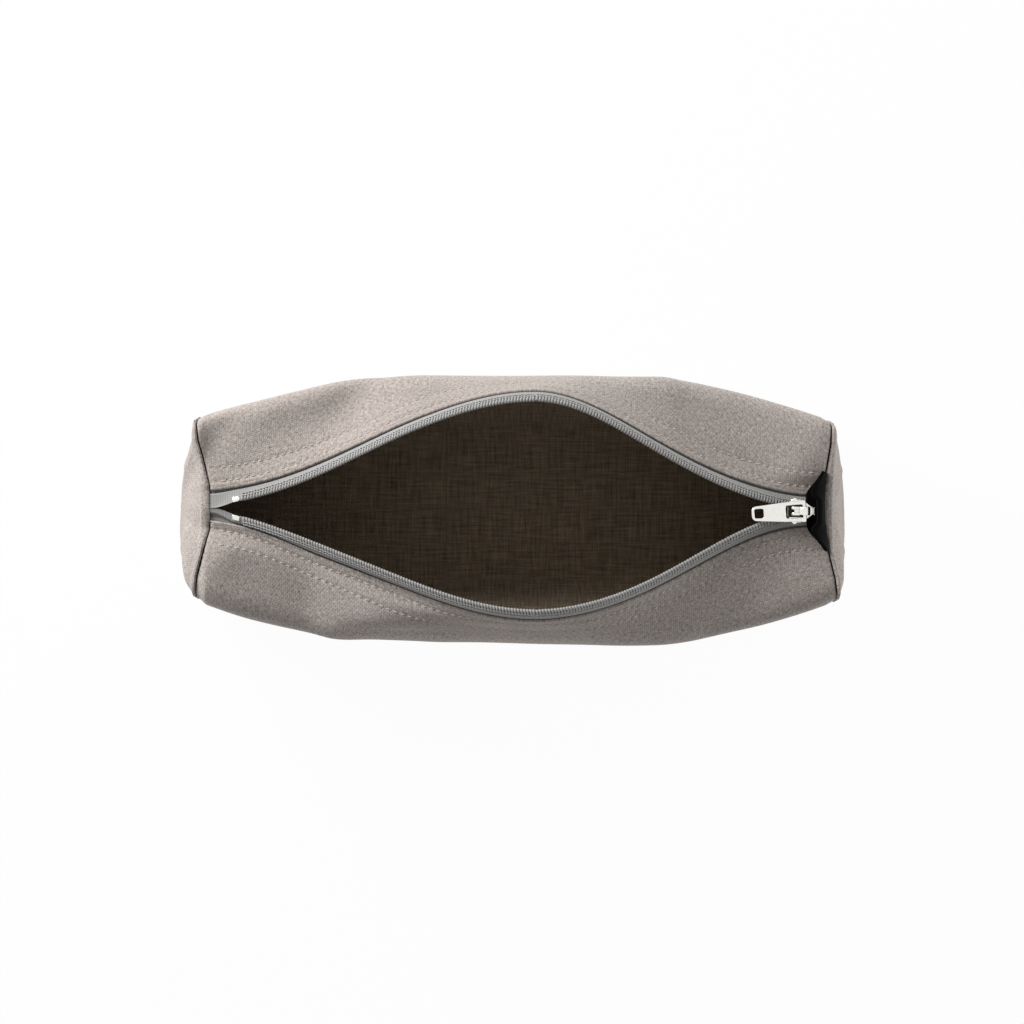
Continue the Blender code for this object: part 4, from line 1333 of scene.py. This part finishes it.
@dataclass
class Zip:
    """Tapes, coils, sewing and stops of the zip."""

    form: CaseForm
    motion: LipMotion
    finishes: Finishes
    canvas: CanvasBody
    pitch: float = 0.95 * MM
    wire: float = 0.46 * MM
    coil_width: float = 2.9 * MM
    coil_top: float = 0.5 * MM
    coil_bottom: float = -1.07 * MM
    tape_inset: float = 0.3 * MM
    stop_x: float = -86.5 * MM
    stop_length: float = 2.6 * MM
    stop_width: float = 1.9 * MM
    stop_half_height: float = 0.95 * MM
    stop_rounding: float = 0.5 * MM
    groove: float = 0.6 * MM
    groove_width: float = 0.32 * MM
    groove_walls: tuple[float, float] = (0.2 * MM, 0.45 * MM)
    tape_depth: float = 0.12 * MM
    tape_overrun: float = 0.25 * MM
    # Left of the stops the tapes draw together, over a length and to a share of their way
    meeting: tuple[float, float] = (7.5 * MM, 0.93)
    # The loop's powers across and up: lower is squarer. Its tip swells by a share.
    loop_powers: tuple[float, float] = (0.8, 0.55)
    tip_swelling: float = 0.03
    # The sewing's lines out from the tips, its radius as a share of the wire, and how far it
    # dips and wanders
    sewing_lines: tuple[float, float] = (1.6 * MM, 2.4 * MM)
    sewing_share: float = 0.42
    sewing_dip: float = 0.1
    sewing_wander: float = 0.08 * MM

    def loops(self, side: Side) -> Array:
        """Return x of every coil loop, at equal steps along the rim, half a step off in front."""
        start, end = self.stop_x + self.stop_length / 2 + 0.4 * MM, self.form.opening_right
        line = np.linspace(start, end, 900)
        y, z, _ = self.form.rim(line, Side.BACK)
        run = np.concatenate([[0], np.cumsum(np.linalg.norm(np.diff([line, y, z]), axis=0))])
        places = np.arange(0.25 if side == Side.BACK else 0.75, run[-1] / self.pitch, 1)
        return np.interp(places * self.pitch, run, line)

    def tape(self, side: Side, end: End) -> Shape:
        """Make one quarter of the tape: from under the canvas to just short of the tooth tips.

        Beyond a narrow furrow along the canvas edge it comes up to the middle of the coil. Left of
        the stops the two tapes draw together until they meet at the seam.
        """
        form = self.form
        inner = 6 - self.tape_inset / form.strip_width
        places = half_places([(4.6, 5, 8), (5, 5.3, 12), (5.3, inner, 10)])
        run = np.linspace(0, 1, 110)[:, None]
        place = places[None] + 0 * run
        x = form.quarter(end, run, place, self.tape_overrun)
        upper = form.canvas + form.gap
        near_wall, far_wall = self.groove_walls
        length, closed = self.meeting

        def at(depth: float) -> Surface:
            """Return the surface that lies a depth below the case's outer face."""
            def face(a: Array, b: Array) -> Array:
                """Return the surface's points at x and place."""
                edge = (b - 5 - self.canvas.overlap(a, side)) * form.strip_width
                dip = self.groove * smooth(edge / near_wall + 1)
                up = (upper + self.groove - self.tape_depth) * smooth(
                    (edge - self.groove_width) / far_wall)
                points = form.point(a, b, side, depth + dip - up)
                drawn = smooth((self.stop_x - a) / length) * smooth((b - 5.0) / 0.8)
                points[..., 1] *= 1 - closed * drawn
                return points

            return face

        top, bottom = at(upper), at(upper + form.tape)
        width = (place - 5) * form.strip_width / MM
        return sheet_between(top, bottom, x, place, side, cloth_grid(x / MM, side * width))

    def coil(self, side: Side, loops: Array) -> Shape:
        """Make one run of coil: a wire wound in flat loops round the line over the tape.

        Each loop is a rounded oblong with an upper leg, a tip at the teeth and a lower leg.
        """
        steps = 12
        turn = np.arange(len(loops) * steps) / steps
        x = np.interp(turn, np.arange(len(loops)), loops)
        angle = 2 * math.pi * turn
        high = (self.coil_top - self.coil_bottom) / 2 - self.wire
        middle = (self.coil_top + self.coil_bottom) / 2
        half = self.coil_width / 2 - self.wire
        across, up = np.cos(angle), np.sin(angle)
        out = self.coil_width / 2 - half * signed_power(across, self.loop_powers[0])
        rise = middle + high * signed_power(up, self.loop_powers[1])
        path = self.form.on_rim(x, side, out, rise)[None]
        step = 0.2 * MM
        beside = unit(self.form.on_rim(x + step, side, out, rise)
                      - self.form.on_rim(x - step, side, out, rise))[None]
        swelling = self.tip_swelling * np.clip(across, 0, 1) ** 3
        return tubes(path, self.wire * (1 + swelling), beside, 6)

    def sewing(self, side: Side, loops: Array, out: float) -> Shape:
        """Make one line of the thread that sews the coil down: it dips between the loops."""
        steps = 4
        turn = np.arange((len(loops) - 1) * steps + 1) / steps
        x = np.interp(turn, np.arange(len(loops)), loops)
        dip = self.sewing_dip
        rise = self.coil_top + (dip * np.cos(2 * math.pi * (turn - 0.25)) - dip) * MM
        wander = out + self.sewing_wander * np.sin(math.pi * turn)
        path = self.form.on_rim(x, side, wander, rise)[None]
        up = self.form.on_rim(x, side, wander, rise + 1 * MM)[None] - path
        beside = unit(np.cross(unit(up), np.gradient(path, axis=1)))
        return tubes(path, self.wire * self.sewing_share + 0 * x, beside, 5)

    def stop(self, side: Side) -> Shape:
        """Make one top stop: a metal clip pressed round the tape's inner edge."""
        stations = rounded_stations(14)
        x = self.stop_x + (stations - 0.5) * self.stop_length
        taper = end_taper(stations, self.stop_length, self.stop_rounding)
        centre = self.form.on_rim(x, side, 0 * x + self.stop_width / 2 + 0.1 * MM,
                                  0 * x - 0.5 * MM)
        tips = self.form.on_rim(x, side, 0 * x, 0 * x)
        out = unit(self.form.on_rim(x, side, 0 * x + 1 * MM, 0 * x) - tips)
        up = unit(self.form.on_rim(x, side, 0 * x, 0 * x + 1 * MM) - tips)
        shape = rounded_bar(centre, out, up, self.stop_width / 2 * taper,
                            self.stop_half_height * taper, 3.2)
        return turned(shape) if side == Side.FRONT else shape

    def build(self) -> None:
        """Make both stringers in two halves each, and both top stops."""
        for side in Side:
            loops = self.loops(side)
            for end in End:
                label = f"{side.name}_{end.name}".lower()
                piece = self.tape(side, end).piece(f"tape_{label}", self.finishes.tape)
                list(self.motion.cloth(side, end))
                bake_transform(piece)
                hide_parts(f"{side.name.lower()}_tape")
                near = loops[(loops - self.form.opening_peak) * end >= 0]
                coil = self.coil(side, near).piece(f"coil_{label}", self.finishes.coil)
                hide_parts(f"{side.name.lower()}_coil")
                inner, outer = (self.sewing(side, near, out) for out in self.sewing_lines)
                thread = inner.add(outer)
                sewn = thread.piece(f"coil_sewing_{label}", self.finishes.core_thread)
                for part in (coil, sewn):
                    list(self.motion.coil(end))
                    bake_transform(part)
            stop = self.stop(side).piece(f"{side.name.lower()}_stop_clip", self.finishes.metal)
            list(self.motion.coil(End.LEFT))
            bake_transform(stop)
            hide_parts(f"{side.name.lower()}_top_stop")
            LOG.info("%s stringer with %d loops", side.name.lower(), len(loops))
        # The bottom stop gets zinc painted dark, as the ribbon tab's shade over it.
        refinish("bottom_stop", self.finishes.dull_metal)


@dataclass
class Slider:
    """The slider: two shaped plates joined by a wedge, flanges, and the cap over the pull."""

    form: CaseForm
    finishes: Finishes
    length: float = 8.4 * MM
    tail_x: float = 93 * MM
    levels: tuple[float, float, float, float] = (-3.15 * MM, -2.25 * MM, 1.25 * MM, 2.15 * MM)
    # Half widths from nose to tail, as shares of the length and millimetres
    plate: tuple[tuple[float, float], ...] = (
        (0.0, 2.7), (0.08, 3.1), (0.15, 3.75), (0.21, 4.1), (0.27, 4.05), (0.36, 3.3), (0.5, 3.1),
        (0.66, 2.75), (0.76, 2.1), (0.84, 1.65), (0.91, 1.2), (0.95, 1.2), (1.0, 1.45))
    foot: tuple[tuple[float, float], ...] = (
        (0.0, 3.2), (0.08, 3.55), (0.2, 4.0), (0.3, 4.05), (0.5, 3.7), (0.75, 3.2), (1.0, 2.6))

    plate_rounding: float = 0.35 * MM
    # The share of its thickness that a plate keeps at its nose and tail
    plate_edge: float = 0.25

    # Bars, in millimetres from the origin: start, end, half width and half height. The dark bar of
    # painted shade under the pull's window is given by x alone, and lies under the plate's top by
    # its sink. The flanges' y is per side.
    wedge: tuple[Any, ...] = ((-4.0, 0, -0.5), (-2.0, 0, -0.5), 0.5, 2.0)
    window_shade_bar: tuple[float, ...] = (-4.3, 1.6, 2.15, 0.3)
    window_shade_sink: float = 0.25
    flange: tuple[Any, ...] = ((-3.4, 3.35, 0.6), (0.2, 3.2, 0.6), 0.35, 0.95)

    # The cap's middle line and sizes, in millimetres
    cap_x: float = -0.55
    cap_half_length: float = 2.63
    cap_top: float = 4.87
    cap_bend: float = 0.9
    cap_half_width: float = 1.35
    cap_half_wall: float = 0.37
    cap_foot: float = 2.1
    roof_end: float = 2.2
    prong_end: float = 3.2
    prong_half_width: float = 0.44
    prong_half_wall: float = 0.31

    @property
    def origin(self) -> Array:
        """The slider's middle, at the height of the rim there."""
        x = self.tail_x - self.length / 2
        return np.array([x, 0.0, float(self.form.rim(np.array(x), Side.BACK)[1])])

    def plate_shape(self, widths: tuple[tuple[float, float], ...], low: float,
                    high: float) -> Shape:
        """Make one plate from its half widths: a rounded bar whose width follows them."""
        stations = rounded_stations(44)
        knots = np.array(widths)
        wide = smoothed(np.interp(stations, knots[:, 0], knots[:, 1]), 5) * MM
        taper = end_taper(stations, self.length, self.plate_rounding)
        x = self.origin[0] + (stations - 0.5) * self.length
        centre = np.stack([x, 0 * x, self.origin[2] + (low + high) / 2 + 0 * x], -1)
        across = np.broadcast_to([0.0, 1.0, 0.0], centre.shape)
        up = np.broadcast_to([0.0, 0.0, 1.0], centre.shape)
        thick = self.plate_edge + (1 - self.plate_edge) * taper
        return rounded_bar(centre, across, up, wide - (1 - taper) * self.plate_rounding,
                           (high - low) / 2 * thick, 6.0, 40)

    def bar(self, start: tuple[float, float, float], end: tuple[float, float, float],
            half_width: float, half_height: float) -> Shape:
        """Make a straight rounded bar between two points given from the slider's origin, in mm."""
        stations = rounded_stations(12)
        a, b = self.origin + np.array(start) * MM, self.origin + np.array(end) * MM
        centre = a + (b - a) * stations[:, None]
        way = unit(b - a)
        up = np.broadcast_to([0.0, 0.0, 1.0], centre.shape)
        across = unit(np.cross(up, way))
        length = float(np.linalg.norm(b - a))
        taper = end_taper(stations, length, min(half_width, half_height) * MM * 0.8)
        return rounded_bar(centre, across, up, half_width * MM * taper, half_height * MM * taper,
                           5.0, 16)

    def strap(self, line: Array, y: float, half_width: float, half_height: float) -> Shape:
        """Make a rounded bar along a line in x and z from the slider's origin, in mm."""
        line = line * MM
        ahead = unit(np.gradient(line, axis=0))
        centre = self.origin + np.stack([line[:, 0], y * MM + 0 * line[:, 0], line[:, 1]], -1)
        up = np.stack([-ahead[:, 1], 0 * ahead[:, 0], ahead[:, 0]], -1)
        across = np.broadcast_to([0.0, 1.0, 0.0], centre.shape)
        size = np.full(len(line), MM)
        return rounded_bar(centre, across, up, half_width * size, half_height * size, 4.0)

    def cap(self) -> Shape:
        """Make the cap: a bar bent into an arch over the crossbar, with a fork of two prongs."""
        start, end = self.cap_x - self.cap_half_length, self.cap_x + self.cap_half_length
        turn = np.linspace(0, math.pi / 2, 8)
        bend = self.cap_bend

        def arch(foot_x: float, way: int, other: float) -> Array:
            """Return x and z up a leg, round the bend and along the roof to another x."""
            leg = [(foot_x, self.cap_foot), (foot_x, self.cap_top - bend)]
            leg += [(foot_x + way * bend * (1 - math.cos(t)),
                     self.cap_top - bend * (1 - math.sin(t))) for t in turn[1:]]
            return np.array(leg + [(other, self.cap_top)])

        roof = arch(end, -1, start + self.roof_end)
        shape = self.strap(roof, 0.0, self.cap_half_width, self.cap_half_wall)
        for side in Side:
            prong = arch(start, 1, start + self.prong_end)
            beside = side * (self.cap_half_width - self.prong_half_width)
            shape = shape.add(self.strap(prong, beside, self.prong_half_width,
                                         self.prong_half_wall))
        return shape

    def build(self) -> None:
        """Make the body, the cap, and the dark bar of painted shade under the pull's window."""
        low, base_top, top_low, high = self.levels
        body = self.plate_shape(self.plate, top_low, high)
        body = body.add(self.plate_shape(self.foot, low, base_top))
        body = body.add(self.bar(*self.wedge))
        # A dark bar in the plate's top under the pull's window: painted shade and painted
        # reflection.
        start, end, half_width, half_height = self.window_shade_bar
        level = high / MM - self.window_shade_sink
        window_shade_bar = self.bar((start, 0, level), (end, 0, level), half_width, half_height)
        *ends, half_width, half_height = self.flange
        for side in Side:
            start, end = ((x, side * y, z) for x, y, z in ends)
            body = body.add(self.bar(start, end, half_width, half_height))
        slider = body.piece("slider_casting", self.finishes.metal)
        cap = self.cap().piece("slider_bridge", self.finishes.metal)
        window_shade_bar = window_shade_bar.piece("slider_window_shade", self.finishes.blackened)
        for piece, node in ((slider, "slider_body"), (window_shade_bar, "slider_body"),
                            (cap, "slider_cap")):
            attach(piece, "slider")
            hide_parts(node)
        refinish("lock_spring", self.finishes.metal)
        LOG.info("slider")


@dataclass
class PullTab:
    """The pull tab: a stamped plate with a window at the hinge and a square hole at its tip."""

    finishes: Finishes
    hinge: tuple[float, float, float] = (89.5 * MM, 0.0, 47.3158 * MM)
    thickness: float = 1.0 * MM
    turn: float = math.radians(3.6)
    bevel: float = 0.22 * MM
    # The window and the hole in mm: both ends along the pull, half width and corner radius
    window: tuple[float, ...] = (-5.7, -0.55, 1.98, 0.3)
    eye: tuple[float, ...] = (-15.5, -12.7, 1.42, 0.45)

    def outline(self) -> Array:
        """Return the plate's outline round the hinge, in mm: a long wedge with a rounded tip."""
        far, near, corner = -16.4, 0.55, 1.6
        tip = [(far + corner * (1 - math.cos(a)), 2.3 - corner * (1 - math.sin(a)))
               for a in np.linspace(0, math.pi / 2, 9)]
        half = tip + [(-5.7, 3.06), (-1.2, 3.14), (-0.95, 3.38), (0.3, 3.38), (near, 3.15)]
        return np.array(half + [(x, -y) for x, y in reversed(half)])

    def hole(self, low: float, high: float, half: float, corner: float) -> Array:
        """Return a hole's outline in mm: an oblong with rounded corners."""
        points = []
        for sx, sy, start in ((1, 1, 0), (-1, 1, 1), (-1, -1, 2), (1, -1, 3)):
            cx = high - corner if sx > 0 else low + corner
            cy = sy * (half - corner)
            for a in np.linspace(start, start + 1, 4) * math.pi / 2:
                points.append((cx + corner * math.cos(a), cy + corner * math.sin(a)))
        return np.array(points)

    def build(self) -> None:
        """Make the plate: the outline less its holes, given a thickness and rounded edges."""
        rings = [self.outline(), self.hole(*self.window), self.hole(*self.eye)]
        points = np.concatenate(rings)
        starts = np.cumsum([0] + [len(ring) for ring in rings])
        edges = [(int(a + i), int(a + (i + 1) % (b - a))) for a, b in zip(starts, starts[1:])
                 for i in range(b - a)]
        flat, _, faces, *_ = delaunay_2d_cdt([tuple(p) for p in points], edges, [], 0, 1e-6)
        kept = []
        for face in faces:
            middle = np.mean([flat[i] for i in face], axis=0)
            if not any(inside(middle, ring) for ring in rings[1:]) and inside(middle, rings[0]):
                kept.append(list(face))
        plane = np.array([(p[0], p[1]) for p in flat]) * MM
        cos, sin = math.cos(self.turn), math.sin(self.turn)
        spread = np.stack([plane[:, 0] * cos - plane[:, 1] * sin,
                           plane[:, 0] * sin + plane[:, 1] * cos,
                           np.full(len(plane), self.thickness / 2)], -1)
        shape = Shape(spread + np.array(self.hinge), np.empty((0, 4), int), kept)
        piece = shape.piece("pull_plate", self.finishes.metal)
        thicken(piece, self.thickness)
        edge = piece.modifiers.new("edges", "BEVEL")
        edge.width, edge.segments, edge.limit_method = self.bevel, 3, "ANGLE"
        edge.angle_limit = math.radians(50)
        piece.modifiers.new("normals", "WEIGHTED_NORMAL").keep_sharp = True
        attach(piece, "pull")
        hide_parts("pull_tab")
        LOG.info("pull tab")


def inside(point: Array, ring: Array) -> bool:
    """Return whether a point lies in a closed outline, by counting the edges to its right."""
    after = np.roll(ring, -1, axis=0)
    crosses = (ring[:, 1] > point[1]) != (after[:, 1] > point[1])
    rise = np.where(after[:, 1] == ring[:, 1], 1, after[:, 1] - ring[:, 1])
    at = ring[:, 0] + (point[1] - ring[:, 1]) / rise * (after[:, 0] - ring[:, 0])
    return bool((crosses & (at > point[0])).sum() % 2)


@dataclass
class EndTab:
    """The folded ribbon that stands in the seam behind the slider and leans towards it."""

    form: CaseForm
    finishes: Finishes
    half_width: float = 12.2 * MM
    height: float = 8.5 * MM
    sunk: float = 1.2 * MM
    spread: float = 2.6 * MM
    ribbon: float = 0.8 * MM
    offset: float = -0.3 * MM
    # How far its top leans to the slider, and how much of its spread is left, at millimetres of y
    leans: tuple[tuple[float, float], ...] = (
        (0.0, 1.4), (3.5, 1.4), (5.5, 3.4), (8.5, 2.6), (12.2, 0.6))
    spreads: tuple[tuple[float, float], ...] = ((0.0, 0.7), (6.0, 0.8), (10.0, 0.4), (12.2, 0.2))
    # The foot lies on the zip's end behind the slider, where the tab's shade falls; its black there
    # is partly ribbon and partly painted shade.
    foot_height: float = 0.4 * MM
    foot_reach: float = 3.4 * MM
    foot_bend: float = 0.8 * MM
    # The foot gets shorter by a share, from millimetres of y and over a stretch of them
    foot_shortening: tuple[float, float, float] = (0.85, 4.5, 8)
    top_narrowing: float = 0.15
    wave: float = 0.15 * MM
    # The wave's turn in a millimetre of y, and at the middle
    wave_turns: tuple[float, float] = (0.33, 0.7)
    sag: float = 0.5 * MM

    def seam_line(self, y: Array) -> Array:
        """Return x of the end seam where it crosses y."""
        form = self.form
        places = np.linspace(3.5, 6, 60)
        seam = form.seam_x(places, End.RIGHT)
        line = form.point(seam, places, Side.BACK, 0 * seam)
        return np.interp(np.abs(y), line[::-1, 1], seam[::-1]) - form.end_skew * y

    def build(self) -> None:
        """Make the ribbon: its section, carried along y.

        One leg comes up out of the seam, folds over at the top, comes down beside itself and runs
        out as a foot that lies on the zip's end, furthest in the middle; the foot's black there is
        partly ribbon and partly painted shade of the tab. The legs lie closer towards both ends,
        where the seam holds them, and lean over most beside the slider.
        """
        y = np.linspace(-self.half_width, self.half_width, 61)
        half = self.spread / 2 - self.ribbon / 2
        floor = self.form.end_height + self.form.gap - self.sunk
        turn = np.linspace(0, math.pi, 13)
        rise = self.height + self.sunk - self.ribbon / 2 - half
        leg = np.linspace(0, rise, 12)[:-1]
        low = self.sunk + self.foot_height
        radius = self.foot_bend
        back = np.linspace(rise, low + radius, 10)[1:]
        bend = np.linspace(0, math.pi / 2, 6)[1:]
        foot = np.linspace(0, 1, 9)[1:]
        across = np.concatenate([half + 0 * leg, half * np.cos(turn), -half + 0 * back,
                                 -half - radius * (1 - np.cos(bend)),
                                 -half - radius + 0 * foot])
        up = np.concatenate([leg, rise + half * np.sin(turn), back,
                             low + radius * (1 - np.sin(bend)), low + 0 * foot])
        out = np.concatenate([np.zeros(len(up) - len(foot)), foot])
        share = np.clip((up - low) / (up.max() - low), 0, 1)
        each, first = self.wave_turns
        wave = self.wave * np.sin(y / MM * each + first)[:, None] * share
        middle = smoothed(self.seam_line(y), 15) + self.offset
        less, start, stretch = self.foot_shortening
        reach = self.foot_reach * (1 - less * smooth((np.abs(y) / MM - start) / stretch))
        knots, wide = np.array(self.leans), np.array(self.spreads)
        lean = np.interp(np.abs(y) / MM, knots[:, 0], knots[:, 1])[:, None] * MM
        wide = np.interp(np.abs(y) / MM, wide[:, 0], wide[:, 1])[:, None]
        narrow = 1 - self.top_narrowing * share
        x = middle[:, None] + across * wide * narrow - lean * share**2 + wave
        x = x - reach[:, None] * out
        sag = self.sag * (y / self.half_width)[:, None] ** 2 * share
        points = np.stack([x, y[:, None] + 0 * x, floor + up - sag], -1)
        run = np.concatenate([[0], np.cumsum(np.hypot(np.diff(across), np.diff(up)))])
        run = (run + reach.max() * out) / MM
        cloth = cloth_grid(run, y[:, None] / MM)
        rows, columns = points.shape[:2]
        shape = Shape(points.reshape(-1, 3), grid_quads(rows, columns), cloth=cloth.reshape(-1, 3))
        piece = shape.piece("ribbon_tab", self.finishes.ribbon)
        thicken(piece, self.ribbon, 0.0)
        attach(piece, "case")
        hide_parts("end_tab")
        LOG.info("ribbon tab")


# Studio


@dataclass
class Studio:
    """A white floor, light from low at the upper left, and a camera straight above."""

    scale: float = 0.31
    focus_height: float = 44 * MM
    camera_height: float = 1.24
    roll: float = math.radians(0.3)
    key_way: tuple[float, float, float] = (-0.70, 0.60, 0.38)
    key_strength: float = 6.3
    side_way: tuple[float, float, float] = (0.92, 0.32, 0.22)
    side_strength: float = 2.0
    lamp_distance: float = 0.7
    lamp_size: float = 0.4
    world_strength: float = 0.345
    floor_glow: float = 0.96

    def floor(self) -> None:
        """Make the floor: a white table lit from below, which still keeps a soft shadow."""
        made = bpy.data.materials.new("luminous_white_table")
        made.use_nodes = True
        tree = made.node_tree
        tree.nodes.clear()
        paper = add_node(tree, "ShaderNodeBsdfDiffuse", {"Color": linear("#f2f2f0")})
        glow = add_node(tree, "ShaderNodeEmission", {"Color": linear("#ffffff"), "Strength": 1.0})
        mix = add_node(tree, "ShaderNodeMixShader", {
            0: self.floor_glow, 1: paper.outputs[0], 2: glow.outputs[0]})
        add_node(tree, "ShaderNodeOutputMaterial", {"Surface": mix.outputs[0]})
        size, level = 3.0, -0.05 * MM
        points = np.array([(-size, -size, level), (size, -size, level), (size, size, level),
                           (-size, size, level)])
        Shape(points, np.array([[0, 1, 2, 3]])).piece("floor", made)

    def light(self) -> None:
        """Set two lamps and a dim surround that shows white in reflections.

        The main lamp stands low at the upper left, a weaker one almost level at the right.
        """
        world = bpy.data.worlds.new("dim_surround")
        world.use_nodes = True
        tree = world.node_tree
        rays = add_node(tree, "ShaderNodeLightPath").outputs
        seen = add_node(tree, "ShaderNodeMath", {0: rays["Is Camera Ray"], 1: rays["Is Glossy Ray"]},
                        operation="MAXIMUM")
        strength = add_node(tree, "ShaderNodeMath", {
            0: seen.outputs[0], 1: 1 - self.world_strength, 2: self.world_strength},
            operation="MULTIPLY_ADD")
        tree.nodes["Background"].inputs["Color"].default_value = linear("#ffffff")
        tree.links.new(strength.outputs[0], tree.nodes["Background"].inputs["Strength"])
        bpy.context.scene.world = world
        for name, way, strength in (("key_lamp", self.key_way, self.key_strength),
                                    ("side_lamp", self.side_way, self.side_strength)):
            lamp = bpy.data.lights.new(name, "AREA")
            lamp.shape, lamp.size, lamp.energy = "DISK", self.lamp_size, strength
            made = bpy.data.objects.new(name, lamp)
            away = Vector(way).normalized()
            made.location = away * self.lamp_distance
            made.rotation_euler = away.to_track_quat("Z", "Y").to_euler()
            bpy.context.scene.collection.objects.link(made)

    def camera(self) -> None:
        """Set the camera straight above, so that a pixel at the seams' height is 0.31 mm wide."""
        pixels, centre = 1024, (-0.93 * MM, -0.775 * MM)
        lens = bpy.data.cameras.new("camera")
        away = self.camera_height - self.focus_height
        lens.sensor_width = 36.0
        lens.lens = lens.sensor_width * away / (pixels * self.scale * MM)
        made = bpy.data.objects.new("camera", lens)
        made.location = (*centre, self.camera_height)
        made.rotation_euler = (0.0, 0.0, self.roll)
        bpy.context.scene.collection.objects.link(made)
        bpy.context.scene.camera = made

    def build(self) -> None:
        """Set up the whole studio."""
        self.camera()
        self.floor()
        self.light()
        bpy.context.scene.view_settings.view_transform = "Standard"


def main() -> None:
    """Build the studio and every piece of the case in order."""
    logging.basicConfig(level=logging.INFO, format="%(name)s: %(message)s")
    form = CaseForm()
    motion = LipMotion(form)
    finishes = Finishes.build()
    Studio().build()
    canvas = CanvasBody(form, motion, finishes)
    canvas.build()
    BodyLining(form, motion, finishes).build()
    EndPanels(form, finishes).build()
    Zip(form, motion, finishes, canvas).build()
    Slider(form, finishes).build()
    PullTab(finishes).build()
    EndTab(form, finishes).build()


if __name__ == "__main__":
    main()
